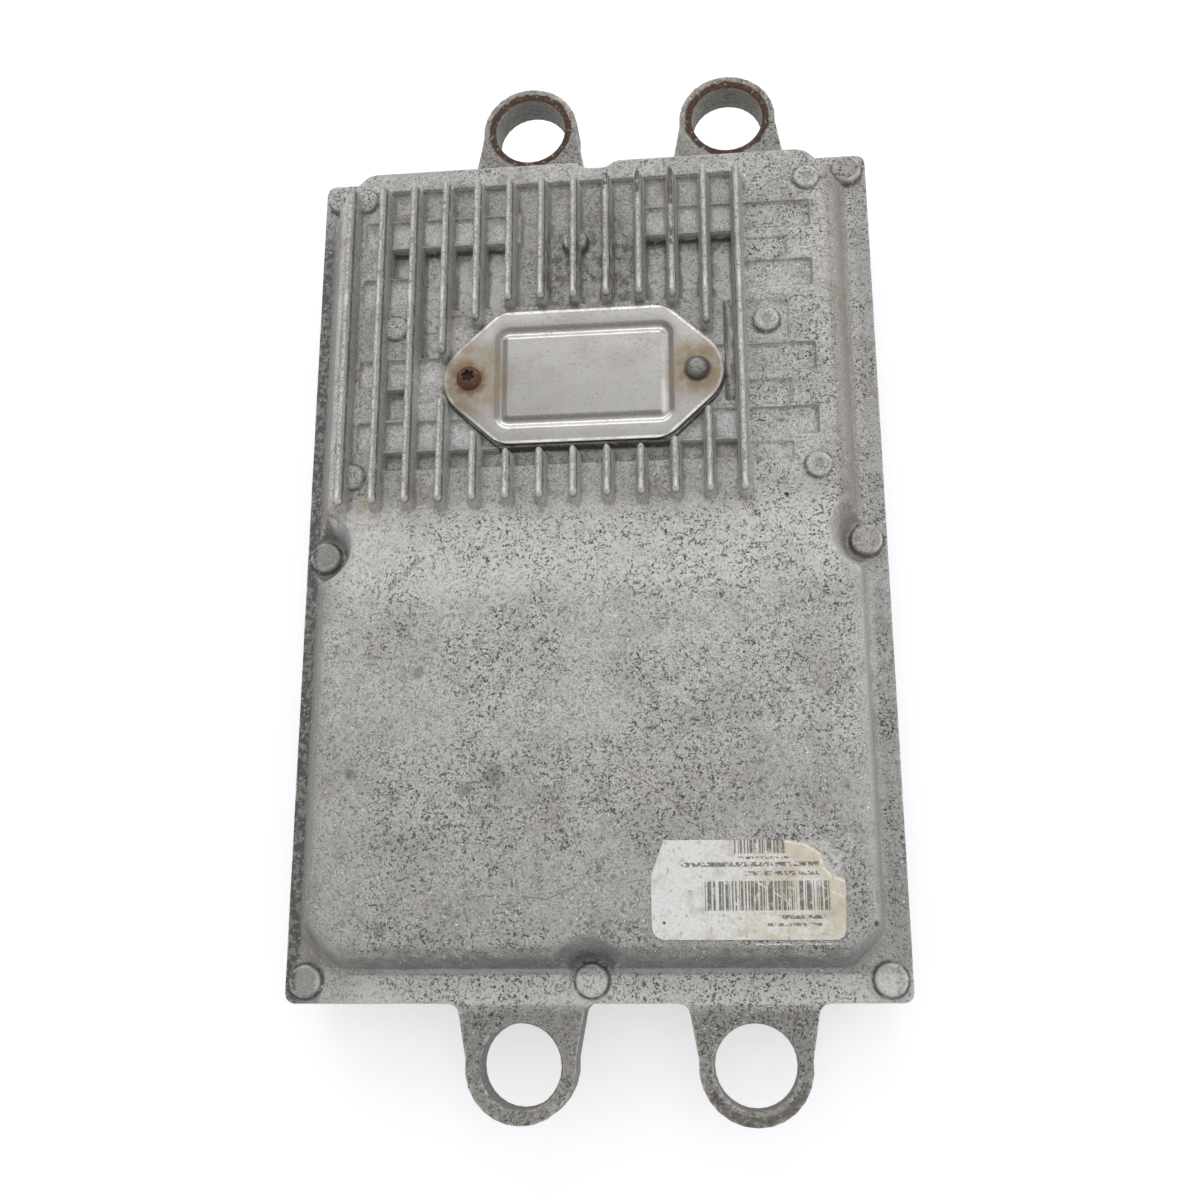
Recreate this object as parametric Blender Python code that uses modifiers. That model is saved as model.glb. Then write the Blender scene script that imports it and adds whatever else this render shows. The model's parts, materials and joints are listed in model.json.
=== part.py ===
"""Fuel injection control module: finned die-cast housing with its boards inside.

Run with: blender --background --python part.py
Units are metres and +Z is up. The module lies on its base cover with the fins up;
X runs across the housing and +Y towards its finned end.
"""

import math

import bmesh
import bpy
from mathutils import Vector

# Overall form of the finned housing
BODY_WIDTH = 0.1700
BODY_LENGTH = 0.2516
BODY_CORNER_RADIUS = 0.0027
HALF_WIDTH = BODY_WIDTH / 2
HALF_LENGTH = BODY_LENGTH / 2
TRAY_HEIGHT = 0.0164
RIM_HEIGHT = 0.0120
PLATEAU_HEIGHT = 0.0135
FIN_HEIGHT = 0.0080
WALL = 0.0025

# Clearances that are used wherever two pieces meet
SEAT_GAP = 0.0003
SHANK_GAP = 0.0003
BOARD_GAP = 0.0005
OVERRUN = 0.0020

# Gasket between the housing and the base cover
GASKET_THICKNESS = 0.0010

# Margins from the body's edges to the plateau's foot and to its crown
FOOT_MARGIN_SIDE = 0.0065
FOOT_SPREAD_LEFT = 0.0037
CROWN_MARGIN_LEFT = 0.0100
CROWN_MARGIN_RIGHT_FRONT = 0.0094
CROWN_MARGIN_RIGHT_REAR = 0.0124
FOOT_MARGIN_FRONT = 0.0077
CROWN_MARGIN_FRONT = 0.0130
FOOT_MARGIN_REAR = 0.0008
CROWN_MARGIN_REAR = 0.0053
CHAMFER_FRONT_LEFT = (0.0080, 0.0110)
CHAMFER_FRONT_RIGHT = (0.0085, 0.0085)
CHAMFER_REAR_RIGHT = (0.0085, 0.0085)
CHAMFER_REAR_LEFT = (0.0080, 0.0085)
CROWN_CORNER_RADIUS = 0.0040
TUB_SHARES = (0.85, 0.45)
NOTCH_X = (-0.0030, 0.0085)
NOTCH_DEPTH = 0.0022
NOTCH_SLOPE = 0.0025
NOTCH_ROUND = 0.0008
WALL_JOG_ROUND = 0.0001

# Section of the plateau's wall: share of its height, share of the way from foot to crown
PLATEAU_SECTION = ((0.0, 0.0), (0.14, 0.29), (0.80, 0.67), (0.93, 0.82), (1.0, 1.0))

# Mounting ears
EAR_CENTRES_X = (-0.0194, 0.0431)
EAR_REACH = 0.0160
EAR_RADIUS = 0.0151
EAR_ROOT_WIDTH = 0.0340
EAR_ROOT_FILLET = 0.0030
EAR_THICKNESS = 0.0111
EAR_BORE = 0.0219
EAR_BORE_CHAMFER = 0.0006

# Screws that close the base cover, and the blind bosses they end in
SCREW_EDGE = 0.0060
MIDDLE_SCREW_SETBACK = 0.0106
BASE_SCREW_SHANK = 0.0040
BASE_SCREW_LENGTH = 0.0140
BASE_SCREW_HEAD = 0.0078
BASE_SCREW_HEAD_HEIGHT = 0.0026
PAN_HEAD_SHAPE = (0.72, 0.55)
BOSS_DIAMETER = 0.0090
BOSS_HEIGHT = 0.0030
BOSS_EDGE = 0.0007
RECESS_FOOT_RADIUS = 0.0060
RECESS_CROWN_RADIUS = 0.0112
RECESS_FLOOR_FILLET = (0.0008, 0.0010)

# Cooling fins
FIN_PITCH = 0.00964
FIN_MARGIN_LEFT = 0.0143
FIN_MARGIN_RIGHT = 0.0395
FIN_TOP_WIDTH = 0.0016
FIN_ROOT_WIDTH = 0.0036
FIN_END_DRAFT = 0.0011
FIN_TOP_ROUND = 0.0005
FIN_MARGIN_REAR = 0.0131
FIN_FRONT_REACH = 0.0222
FIN_CLEARS_COVER = 0.0028

# Floor between the fins: strips that face the power transistors, and pockets around them;
# each row is given by its distance from the body's rear end
STRIP_ROWS = (0.0920, 0.0723, 0.0457, 0.0265)
STRIP_WIDTH = 0.0092
STRIP_MARGIN_LEFT = 0.0170
STRIP_MARGIN_RIGHT = 0.0182
STRIP_INNER_X = (-0.0200, 0.0175)
STRIP_LEFT_X = (-HALF_WIDTH + STRIP_MARGIN_LEFT, STRIP_INNER_X[0])
STRIP_RIGHT_X = (STRIP_INNER_X[1], HALF_WIDTH - STRIP_MARGIN_RIGHT)
FIN_REAR_Y = HALF_LENGTH - FIN_MARGIN_REAR
FIN_FRONT_Y = HALF_LENGTH - STRIP_ROWS[0] - FIN_FRONT_REACH
MIDDLE_SCREW_Y = FIN_FRONT_Y - MIDDLE_SCREW_SETBACK
STRIP_DEPTH = 0.0012
NARROW_FIELD_MARGINS = (0.0385, 0.0256)
NARROW_FIELD_DEPTH = 0.0007
NARROW_FIELD_REACH = (0.0090, 0.0144, 0.0081)
FRONT_FIELD_GAP = 0.0014
FRONT_FIELD_WIDTH = 0.0060
SHALLOW_DEPTH = 0.0024
MEDIUM_DEPTH = 0.0032
MEDIUM_ROW_WIDTH = 0.0057
LEFT_FLOOR_MARGINS = (0.0054, 0.0036)
DEEP_DEPTH = 0.0049
POCKET_DRAFT = 0.0004

# Round boss ends on the floor, above the screws that hold the driver board;
# each is given by its distance from the body's side and rear end, the middle one by its x
BOARD_BOSSES_RIGHT = ((0.0191, 0.0150), (0.0192, 0.1059), (0.0324, 0.0606))
BOARD_BOSSES_LEFT = ((0.0171, 0.0146), (0.0164, 0.1044), (0.0280, 0.0579))
BOARD_BOSS_MIDDLE = (-0.0033, 0.0318)
BOARD_BOSS_DIAMETER = 0.0076
BOARD_BOSS_RISE = 0.0014
BOARD_BOSS_EDGE = 0.0007
BOARD_BOSS_DIMPLE = 0.0034
BOARD_BOSS_DIMPLE_DEPTH = 0.0005

# Access cover over the window in the finned floor
COVER_SHIFT_X = -0.00085
COVER_REAR_DISTANCE = 0.0762
COVER_CENTRE = (COVER_SHIFT_X, HALF_LENGTH - COVER_REAR_DISTANCE)
COVER_HALF_LENGTH = 0.04075
COVER_HALF_WIDTH = 0.0207
COVER_TIP_RADIUS = 0.0125
COVER_SLOPE = math.radians(42.7)
COVER_CORNER_RADIUS = 0.0080
COVER_SHEET = 0.0012
COVER_MOAT_SIZE = (0.0518, 0.0319)
COVER_MOAT_RADIUS = 0.0045
COVER_MOAT_WIDTH = 0.0026
COVER_MOAT_WALL = 0.0008
COVER_MOAT_DEPTH = 0.0010
COVER_PANEL_RISE = 0.0003
COVER_GASKET = 0.0008
COVER_SCREW_REACH = 0.0332
COVER_SCREW_SHANK = 0.0040
COVER_SCREW_LENGTH = 0.0066
COVER_SCREW_HEAD = 0.0072
COVER_SCREW_HEAD_HEIGHT = 0.0025
WINDOW_MARGIN = 0.0006

# Roof of the inside: lower under the finned floor than under the smooth front
REAR_ROOF = 0.0066
FRONT_ROOF = 0.0105
ROOF_STEP_SETBACK = 0.0046
ROOF_STEP_Y = FIN_FRONT_Y - ROOF_STEP_SETBACK

# Boards
BOARD_THICKNESS = 0.0016
DRIVER_BOARD_SETBACK = 0.0029
DRIVER_BOARD_FRONT_Y = FIN_FRONT_Y + DRIVER_BOARD_SETBACK
LOGIC_BOARD_MARGIN_SIDE = 0.0170
LOGIC_BOARD_MARGIN_FRONT = 0.0173
LOGIC_BOARD_REACH = 0.0154
LOGIC_BOARD_HALF_WIDTH = HALF_WIDTH - LOGIC_BOARD_MARGIN_SIDE
LOGIC_BOARD_Y = (-HALF_LENGTH + LOGIC_BOARD_MARGIN_FRONT, FIN_FRONT_Y + LOGIC_BOARD_REACH)
LOGIC_POST_MARGIN = 0.0080
LOGIC_POST_FRONT_DISTANCE = 0.0828
LOGIC_POST_X = LOGIC_BOARD_HALF_WIDTH - LOGIC_POST_MARGIN
LOGIC_POST_FRONT_Y = -HALF_LENGTH + LOGIC_POST_FRONT_DISTANCE
LOGIC_POST_REAR_Y = LOGIC_BOARD_Y[1] - LOGIC_POST_MARGIN
LOGIC_POST_PLACES = (
    (-LOGIC_POST_X, LOGIC_POST_FRONT_Y),
    (LOGIC_POST_X, LOGIC_POST_FRONT_Y),
    (-LOGIC_POST_X, LOGIC_POST_REAR_Y),
    (LOGIC_POST_X, LOGIC_POST_REAR_Y),
)
POST_DIAMETER = 0.0080
BOARD_SCREW_SHANK = 0.0030
BOARD_SCREW_HEAD = 0.0056
BOARD_SCREW_HEAD_HEIGHT = 0.0022
BOARD_SCREW_GRIP = 0.0035

# Power transistors, capacitors, coils, processor and the link between the boards
TRANSISTOR_SIZE = (0.0160, 0.0088)
TRANSISTOR_HEIGHT = 0.0042
TRANSISTOR_TAB = 0.0055
TRANSISTOR_TAB_WIDTH = 0.0074
TRANSISTOR_TAB_THICKNESS = 0.0013
TRANSISTOR_TAB_DROP = 0.0002
CAPACITOR_DIAMETER = 0.0160
CAPACITOR_LENGTH = 0.0220
CAPACITOR_EDGE = 0.0006
CAPACITOR_GROOVE_DROP = 0.0027
CAPACITOR_GROOVE = 0.0005
CAPACITOR_PLACES_X = (-0.0460, -0.0270, 0.0150, 0.0340)
CAPACITOR_REAR_DISTANCE = 0.0298
CAPACITOR_Y = HALF_LENGTH - CAPACITOR_REAR_DISTANCE
COIL_DIAMETER = 0.0240
COIL_HEIGHT = 0.0160
COIL_CHEEK = 0.0022
COIL_WAIST = 0.0206
COIL_PLACES_X = (-0.0260, 0.0260)
COIL_REAR_DISTANCE = 0.0778
COIL_Y = HALF_LENGTH - COIL_REAR_DISTANCE
PROCESSOR_SIZE = 0.0240
PROCESSOR_HEIGHT = 0.0026
PROCESSOR_EDGE = 0.0004
LINK_SIZE = (0.0560, 0.0050)
LINK_MARGIN = 0.0070
LINK_Y = LOGIC_BOARD_Y[1] - LINK_MARGIN

# Connector headers in the base cover
HEADER_FRONT_DISTANCE = 0.0478
HEADER_Y = -HALF_LENGTH + HEADER_FRONT_DISTANCE
HEADER_GAP = 0.0080
HEADER_DEPTH = 0.0270
HEADER_SIDE_MARGIN = 0.0205
SMALL_HEADER_WIDTH = 0.0250
LARGE_HEADER_WIDTH = HALF_WIDTH - HEADER_SIDE_MARGIN - HEADER_GAP - SMALL_HEADER_WIDTH / 2
HEADER_WALL = 0.0018
HEADER_CORNER_RADIUS = 0.0030
HEADER_RECESS = 0.0006
HEADER_FLANGE = 0.0020
HEADER_FLANGE_THICKNESS = 0.0016
SOCKET_DEPTH = 0.0130
PIN_SIZE = 0.0012
PIN_POINT = 0.0002
PIN_LENGTH = 0.0065
PIN_PITCH = 0.0047
PIN_MARGIN_ACROSS = 0.0055
PIN_MARGIN_ALONG = 0.0040

# Worn paper label on the smooth front of the plateau
LABEL_THICKNESS = 0.00015
LABEL_GAP = 0.00005
LABEL_SIZE = (0.0504, 0.0258)
LABEL_MARGIN_RIGHT = 0.0176
LABEL_MARGIN_FRONT = 0.0162
LABEL_CORNER_RADIUS = 0.0026

# Number of flats on round forms
CORNER_STEPS = 3
SHELL_CORNER_STEPS = 2
COVER_CORNER_STEPS = 5
RECESS_STEPS = 20
BORE_STEPS = 28
BOSS_STEPS = 16
BOARD_BOSS_STEPS = 12
COIL_STEPS = 16
CAPACITOR_STEPS = 12
COVER_HOLE_STEPS = 12
SCREW_HOLE_STEPS = 8
COVER_SCREW_STEPS = 16
BASE_SCREW_STEPS = 12
BOARD_SCREW_STEPS = 8
FIN_END_STEPS = 3

# Heights that follow from the sizes above
GASKET_Z = TRAY_HEIGHT + SEAT_GAP
RIM_Z = GASKET_Z + GASKET_THICKNESS + SEAT_GAP
FLANGE_Z = RIM_Z + RIM_HEIGHT
PLATEAU_Z = FLANGE_Z + PLATEAU_HEIGHT
FIN_TOP_Z = PLATEAU_Z + FIN_HEIGHT
REAR_ROOF_Z = FLANGE_Z + REAR_ROOF
FRONT_ROOF_Z = FLANGE_Z + FRONT_ROOF
DRIVER_TOP_Z = REAR_ROOF_Z - SEAT_GAP - TRANSISTOR_HEIGHT - SEAT_GAP
DRIVER_Z = DRIVER_TOP_Z - BOARD_THICKNESS
HEADER_TOP_Z = HEADER_RECESS + SOCKET_DEPTH + HEADER_WALL
LOGIC_Z = HEADER_TOP_Z + SEAT_GAP
LOGIC_TOP_Z = LOGIC_Z + BOARD_THICKNESS


def clear_scene():
    """Remove every object that the file holds."""
    for item in list(bpy.data.objects):
        bpy.data.objects.remove(item, do_unlink=True)


def new_collection(name):
    """A collection linked to the scene."""
    group = bpy.data.collections.new(name)
    bpy.context.scene.collection.children.link(group)
    return group


def new_material(name, colour, roughness, metallic):
    """A Principled material with a plain colour."""
    material = bpy.data.materials.new(name)
    material.use_nodes = True
    shader = material.node_tree.nodes["Principled BSDF"]
    shader.inputs["Base Color"].default_value = (*colour, 1.0)
    shader.inputs["Roughness"].default_value = roughness
    shader.inputs["Metallic"].default_value = metallic
    material.diffuse_color = (*colour, 1.0)
    return material


class Workshop:
    """The two collections, and the objects put in them."""

    def __init__(self):
        self.parts = new_collection("fuel_injection_control_module")
        self.cutters = new_collection("cutters")

    def part(self, name, mesh, material):
        """Put a finished piece in the module's collection."""
        item = bpy.data.objects.new(name, mesh)
        item.data.materials.append(material)
        self.parts.objects.link(item)
        return item

    def tool(self, name, mesh):
        """Put a shape that a Boolean uses in the cutters' collection."""
        item = bpy.data.objects.new(name, mesh)
        item.display_type = "WIRE"
        item.hide_render = True
        self.cutters.objects.link(item)
        return item


def boolean(target, tool, operation):
    """Add an exact Boolean to the target."""
    modifier = target.modifiers.new(f"{operation.lower()}_{tool.name}", "BOOLEAN")
    modifier.object = tool
    modifier.operation = operation
    modifier.solver = "EXACT"


def cut(target, tool):
    """Cut the tool out of the target."""
    boolean(target, tool, "DIFFERENCE")


def join(target, tool):
    """Add the tool to the target."""
    boolean(target, tool, "UNION")


def finish_mesh(bm, name):
    """Turn a bmesh into a mesh whose faces point out."""
    bmesh.ops.recalc_face_normals(bm, faces=bm.faces)
    mesh = bpy.data.meshes.new(name)
    bm.to_mesh(mesh)
    bm.free()
    return mesh


def evaluated_mesh(holder):
    """The mesh that a curve or a modifier makes; the object that held it is removed."""
    bpy.context.scene.collection.objects.link(holder)
    bpy.context.view_layer.update()
    evaluated = holder.evaluated_get(bpy.context.evaluated_depsgraph_get())
    mesh = bpy.data.meshes.new_from_object(evaluated)
    bpy.data.objects.remove(holder, do_unlink=True)
    return mesh


def rounded_outline(corners, steps=CORNER_STEPS):
    """Round each corner (x, y, radius) of a closed outline with an arc."""
    points = []
    count = len(corners)
    for index, (x, y, radius) in enumerate(corners):
        corner = Vector((x, y))
        back = (Vector(corners[index - 1][:2]) - corner).normalized()
        ahead = (Vector(corners[(index + 1) % count][:2]) - corner).normalized()
        half = back.angle(ahead) / 2
        centre = corner + (back + ahead).normalized() * radius / math.sin(half)
        start = corner + back * radius / math.tan(half) - centre
        turn = start.angle_signed(corner + ahead * radius / math.tan(half) - centre)
        for step in range(steps + 1):
            angle = -turn * step / steps
            swing = Vector((
                start.x * math.cos(angle) - start.y * math.sin(angle),
                start.x * math.sin(angle) + start.y * math.cos(angle),
            ))
            points.append(tuple(centre + swing))
    return points


def rectangle(half_x, half_y, radius, centre=(0.0, 0.0), steps=CORNER_STEPS):
    """Outline of a rectangle with rounded corners."""
    x, y = centre
    return rounded_outline([
        (x - half_x, y - half_y, radius),
        (x + half_x, y - half_y, radius),
        (x + half_x, y + half_y, radius),
        (x - half_x, y + half_y, radius),
    ], steps)


def circle(centre, radius, steps):
    """Outline of a circle."""
    turn = math.tau / steps
    return [
        (centre[0] + radius * math.cos(turn * i), centre[1] + radius * math.sin(turn * i))
        for i in range(steps)
    ]


def plate_mesh(name, outlines, low, high):
    """A flat plate from a filled 2D curve: the first outline is its edge, the rest are holes."""
    curve = bpy.data.curves.new(name, "CURVE")
    curve.dimensions = "2D"
    curve.fill_mode = "BOTH"
    curve.extrude = (high - low) / 2
    for outline in outlines:
        spline = curve.splines.new("POLY")
        spline.points.add(len(outline) - 1)
        for point, (x, y) in zip(spline.points, outline):
            point.co = (x, y, 0.0, 1.0)
        spline.use_cyclic_u = True
    bm = bmesh.new()
    bm.from_mesh(evaluated_mesh(bpy.data.objects.new(name, curve)))
    bmesh.ops.remove_doubles(bm, verts=bm.verts, dist=1e-6)
    bmesh.ops.translate(bm, verts=bm.verts, vec=(0.0, 0.0, (low + high) / 2))
    return finish_mesh(bm, name)


def move_ring(verts, outline, following, height):
    """Move each vertex that lies on an outline to its place on the following one."""
    for vert in verts:
        index = min(range(len(outline)), key=lambda i: math.dist(outline[i], vert.co.xy))
        vert.co = (*following[index], height)


def add_loft(bm, levels):
    """Skin outlines with the same number of points, each at its own height."""
    outline, height = levels[0]
    base = bm.faces.new([bm.verts.new((x, y, height)) for x, y in outline])
    cap = base
    for following, height in levels[1:]:
        grown = bmesh.ops.extrude_face_region(bm, geom=[cap])["geom"]
        if cap is not base:
            bmesh.ops.delete(bm, geom=[cap], context="FACES_ONLY")
        cap = next(item for item in grown if isinstance(item, bmesh.types.BMFace))
        move_ring(cap.verts, outline, following, height)
        outline = following


def loft_mesh(name, levels):
    """One lofted solid."""
    bm = bmesh.new()
    add_loft(bm, levels)
    return finish_mesh(bm, name)


def turned_mesh(name, profile, places, steps):
    """Turn a profile of (radius, height) points with a Screw modifier, once for each place."""
    line = bpy.data.meshes.new(name)
    points = [(radius, 0.0, height) for radius, height in profile]
    line.from_pydata(points, [(i, i + 1) for i in range(len(points) - 1)], [])
    holder = bpy.data.objects.new(name, line)
    screw = holder.modifiers.new("turn", "SCREW")
    screw.steps = steps
    screw.render_steps = steps
    turned = evaluated_mesh(holder)
    bm = bmesh.new()
    for x, y in places:
        known = set(bm.verts)
        bm.from_mesh(turned)
        fresh = [vert for vert in bm.verts if vert not in known]
        bmesh.ops.translate(bm, verts=fresh, vec=(x, y, 0.0))
    bmesh.ops.remove_doubles(bm, verts=bm.verts, dist=1e-6)
    return finish_mesh(bm, name)


def add_tapered_box(bm, low, high, draft):
    """A box whose lower face is smaller by the draft on each side."""
    size = Vector(high) - Vector(low)
    centre = (Vector(high) + Vector(low)) / 2
    verts = bmesh.ops.create_cube(bm, size=1.0)["verts"]
    for vert in verts:
        inward = draft if vert.co.z < 0 else 0.0
        vert.co.x *= size.x - 2 * inward
        vert.co.y *= size.y - 2 * inward
        vert.co.z *= size.z
        vert.co += centre


def boxes_mesh(name, boxes, draft=0.0):
    """Several boxes that don't touch each other, as one mesh."""
    bm = bmesh.new()
    for low, high in boxes:
        add_tapered_box(bm, low, high, draft)
    return finish_mesh(bm, name)


def blend(foot, crown, share):
    """The value a share of the way from foot to crown."""
    return foot + (crown - foot) * share


def inset_chamfer(chamfer, inset):
    """Size of a corner's chamfer once the outline around it has moved inward evenly."""
    across, along = chamfer
    slant = math.hypot(across, along)
    depth = across * along / slant
    kept = (depth + inset - inset * (across + along) / slant) / depth
    return across * kept, along * kept


def shell_outline(share, inset=0.0, spread=0.0):
    """Outline at a share of the way from foot to crown, its left foot spread outward."""
    widening = spread * (1.0 - share)
    left = -HALF_WIDTH + blend(FOOT_MARGIN_SIDE, CROWN_MARGIN_LEFT, share) - widening + inset
    right_front = HALF_WIDTH - blend(FOOT_MARGIN_SIDE, CROWN_MARGIN_RIGHT_FRONT, share) - inset
    right_rear = HALF_WIDTH - blend(FOOT_MARGIN_SIDE, CROWN_MARGIN_RIGHT_REAR, share) - inset
    front = -HALF_LENGTH + blend(FOOT_MARGIN_FRONT, CROWN_MARGIN_FRONT, share) + inset
    rear = HALF_LENGTH - blend(FOOT_MARGIN_REAR, CROWN_MARGIN_REAR, share) - inset
    step = MIDDLE_SCREW_Y + NOTCH_SLOPE
    radius = CROWN_CORNER_RADIUS
    small = NOTCH_ROUND
    across, along = CHAMFER_FRONT_LEFT
    front_left = inset_chamfer((across + widening, along), inset)
    front_right = inset_chamfer(CHAMFER_FRONT_RIGHT, inset)
    rear_right = inset_chamfer(CHAMFER_REAR_RIGHT, inset)
    across, along = CHAMFER_REAR_LEFT
    rear_left = inset_chamfer((across + widening, along + widening), inset)
    return rounded_outline([
        (left, front + front_left[1], radius),
        (left + front_left[0], front, radius),
        (right_front - front_right[0], front, radius),
        (right_front, front + front_right[1], radius),
        (right_front, MIDDLE_SCREW_Y, small),
        (right_rear - WALL_JOG_ROUND, step, small),
        (right_rear, rear - rear_right[1], radius),
        (right_rear - rear_right[0], rear, radius),
        (NOTCH_X[1], rear, small),
        (NOTCH_X[1] - NOTCH_SLOPE, rear - NOTCH_DEPTH, small),
        (NOTCH_X[0] + NOTCH_SLOPE, rear - NOTCH_DEPTH, small),
        (NOTCH_X[0], rear, small),
        (left + rear_left[0], rear, radius),
        (left, rear - rear_left[1], radius),
    ], SHELL_CORNER_STEPS)


def screw_places():
    """Where the screws of the base cover stand."""
    side = HALF_WIDTH - SCREW_EDGE
    end = HALF_LENGTH - SCREW_EDGE
    corners = [(-side, -end), (side, -end), (side, end), (-side, end)]
    return corners + recessed_screw_places()


def recessed_screw_places():
    """The screws between the corners, which the walls curve around."""
    side = HALF_WIDTH - SCREW_EDGE
    return [(-side, MIDDLE_SCREW_Y), (side, MIDDLE_SCREW_Y), (0.0, -HALF_LENGTH + SCREW_EDGE)]


def recess_profile(base, foot, crown, extra):
    """Profile of the conical space around a recessed screw, from its floor to its open end."""
    rise = 1.0 if crown > foot else -1.0
    foot_radius = RECESS_FOOT_RADIUS + extra
    crown_radius = RECESS_CROWN_RADIUS + extra
    slope = (crown_radius - foot_radius) / abs(crown - foot)
    mouth = crown_radius + slope * OVERRUN
    out, up = RECESS_FLOOR_FILLET
    return [
        (0.0, base),
        (foot_radius, base),
        (foot_radius, foot),
        (foot_radius + out, foot + rise * up),
        (mouth, crown + rise * OVERRUN),
        (0.0, crown + rise * OVERRUN),
    ]


def fin_positions():
    """The fins' places across the housing."""
    room = BODY_WIDTH - FIN_MARGIN_LEFT - FIN_MARGIN_RIGHT
    count = int(room / FIN_PITCH) + 1
    return [-HALF_WIDTH + FIN_MARGIN_LEFT + FIN_PITCH * index for index in range(count)]


def board_boss_places():
    """Axes of the driver board's bosses: right side, left side and middle."""
    right = [(HALF_WIDTH - side, HALF_LENGTH - rear) for side, rear in BOARD_BOSSES_RIGHT]
    left = [(-HALF_WIDTH + side, HALF_LENGTH - rear) for side, rear in BOARD_BOSSES_LEFT]
    x, rear = BOARD_BOSS_MIDDLE
    return right + left + [(x, HALF_LENGTH - rear)]


def cover_outline(grow=0.0):
    """Long hexagon with round tips, grown by an even offset."""
    x, y = COVER_CENTRE
    half_width = COVER_HALF_WIDTH + grow
    tip_radius = COVER_TIP_RADIUS + grow
    tip = COVER_HALF_LENGTH + grow + tip_radius * (1 / math.sin(COVER_SLOPE) - 1)
    edge = tip - half_width / math.tan(COVER_SLOPE)
    corner_radius = COVER_CORNER_RADIUS + grow
    return rounded_outline([
        (x - tip, y, tip_radius),
        (x - edge, y - half_width, corner_radius),
        (x + edge, y - half_width, corner_radius),
        (x + tip, y, tip_radius),
        (x + edge, y + half_width, corner_radius),
        (x - edge, y + half_width, corner_radius),
    ], COVER_CORNER_STEPS)


def cover_half_height(x, grow):
    """Half the height of the grown cover's outline at one x, or None beside it."""
    outline = cover_outline(grow)
    heights = []
    for (x0, y0), (x1, y1) in zip(outline, outline[1:] + outline[:1]):
        if min(x0, x1) <= x <= max(x0, x1) and x0 != x1:
            heights.append(abs(blend(y0, y1, (x - x0) / (x1 - x0)) - COVER_CENTRE[1]))
    return max(heights) if heights else None


def fin_outline(x, front, rear, half_width, end_inset):
    """Slot outline of a fin at one height."""
    points = []
    for y, start in ((rear - end_inset - half_width, 0.0), (front + end_inset + half_width, math.pi)):
        for step in range(FIN_END_STEPS + 1):
            angle = start + math.pi * step / FIN_END_STEPS
            points.append((x + half_width * math.cos(angle), y + half_width * math.sin(angle)))
    return points


def add_fin(bm, x, front, rear):
    """One fin with drafted sides and a rounded top edge."""
    root_z = PLATEAU_Z - DEEP_DEPTH - OVERRUN / 2
    round_start = FIN_TOP_Z - FIN_TOP_ROUND
    levels = [
        (root_z, FIN_ROOT_WIDTH / 2, 0.0),
        (PLATEAU_Z, FIN_ROOT_WIDTH / 2, 0.0),
        (round_start, FIN_TOP_WIDTH / 2, FIN_END_DRAFT),
        (FIN_TOP_Z, FIN_TOP_WIDTH / 2 - FIN_TOP_ROUND, FIN_END_DRAFT + FIN_TOP_ROUND),
    ]
    add_loft(bm, [(fin_outline(x, front, rear, half, inset), z) for z, half, inset in levels])


def fins_mesh():
    """All fins; those that meet the access cover stop short of it on both sides."""
    bm = bmesh.new()
    front = FIN_FRONT_Y - FIN_END_DRAFT
    rear = FIN_REAR_Y + FIN_END_DRAFT
    clearance = FIN_CLEARS_COVER - FIN_END_DRAFT
    for x in fin_positions():
        half = cover_half_height(x, clearance)
        if half is None:
            add_fin(bm, x, front, rear)
        else:
            add_fin(bm, x, front, COVER_CENTRE[1] - half)
            add_fin(bm, x, COVER_CENTRE[1] + half, rear)
    return finish_mesh(bm, "fins")


def floor_pocket(x_range, y_range, depth):
    """Box of a pocket sunk into the plateau's floor."""
    low = (x_range[0], y_range[0], PLATEAU_Z - depth)
    high = (x_range[1], y_range[1], PLATEAU_Z + OVERRUN)
    return low, high


def strip_rows():
    """The strips' middles, from the front row to the rear one."""
    return [HALF_LENGTH - distance for distance in STRIP_ROWS]


def strip_span(row):
    """Front and rear edge of one strip."""
    middle = strip_rows()[row]
    return middle - STRIP_WIDTH / 2, middle + STRIP_WIDTH / 2


def strip_pockets():
    """Shallow strips on both sides, one for each row of transistors."""
    pockets = []
    for row in range(len(STRIP_ROWS)):
        for x_range in (STRIP_LEFT_X, STRIP_RIGHT_X):
            pockets.append(floor_pocket(x_range, strip_span(row), STRIP_DEPTH))
    return pockets


def narrow_pockets():
    """Fields between the strips on the open floor beside the last fin."""
    front_edge = strip_span(0)[0] - FRONT_FIELD_GAP
    spans = [(front_edge - FRONT_FIELD_WIDTH, front_edge)]
    for row, reach in enumerate(NARROW_FIELD_REACH):
        start = strip_span(row)[1] - POCKET_DRAFT
        spans.append((start, start + reach))
    ends = tuple(HALF_WIDTH - margin for margin in NARROW_FIELD_MARGINS)
    return [floor_pocket(ends, span, NARROW_FIELD_DEPTH) for span in spans]


def window_rear_edge():
    """Line behind the access cover where the pockets begin."""
    return COVER_CENTRE[1] + COVER_HALF_WIDTH + FIN_CLEARS_COVER


def shallow_pockets():
    """Even floor behind the last strips, and between the middle fins behind the cover."""
    places = fin_positions()
    strip_front, strip_rear = strip_span(3)
    rear_edge = FIN_REAR_Y + FIN_ROOT_WIDTH / 2
    return [
        floor_pocket((places[1], places[-1]), (strip_rear, rear_edge), SHALLOW_DEPTH),
        floor_pocket((places[5], places[-4]), (window_rear_edge(), strip_front), SHALLOW_DEPTH),
    ]


def shallow_passage():
    """The same floor between the ends of the last strips."""
    front, rear = strip_span(3)
    across = (STRIP_LEFT_X[1], STRIP_RIGHT_X[0])
    return [floor_pocket(across, (front - OVERRUN / 2, rear + OVERRUN / 2), SHALLOW_DEPTH)]


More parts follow.
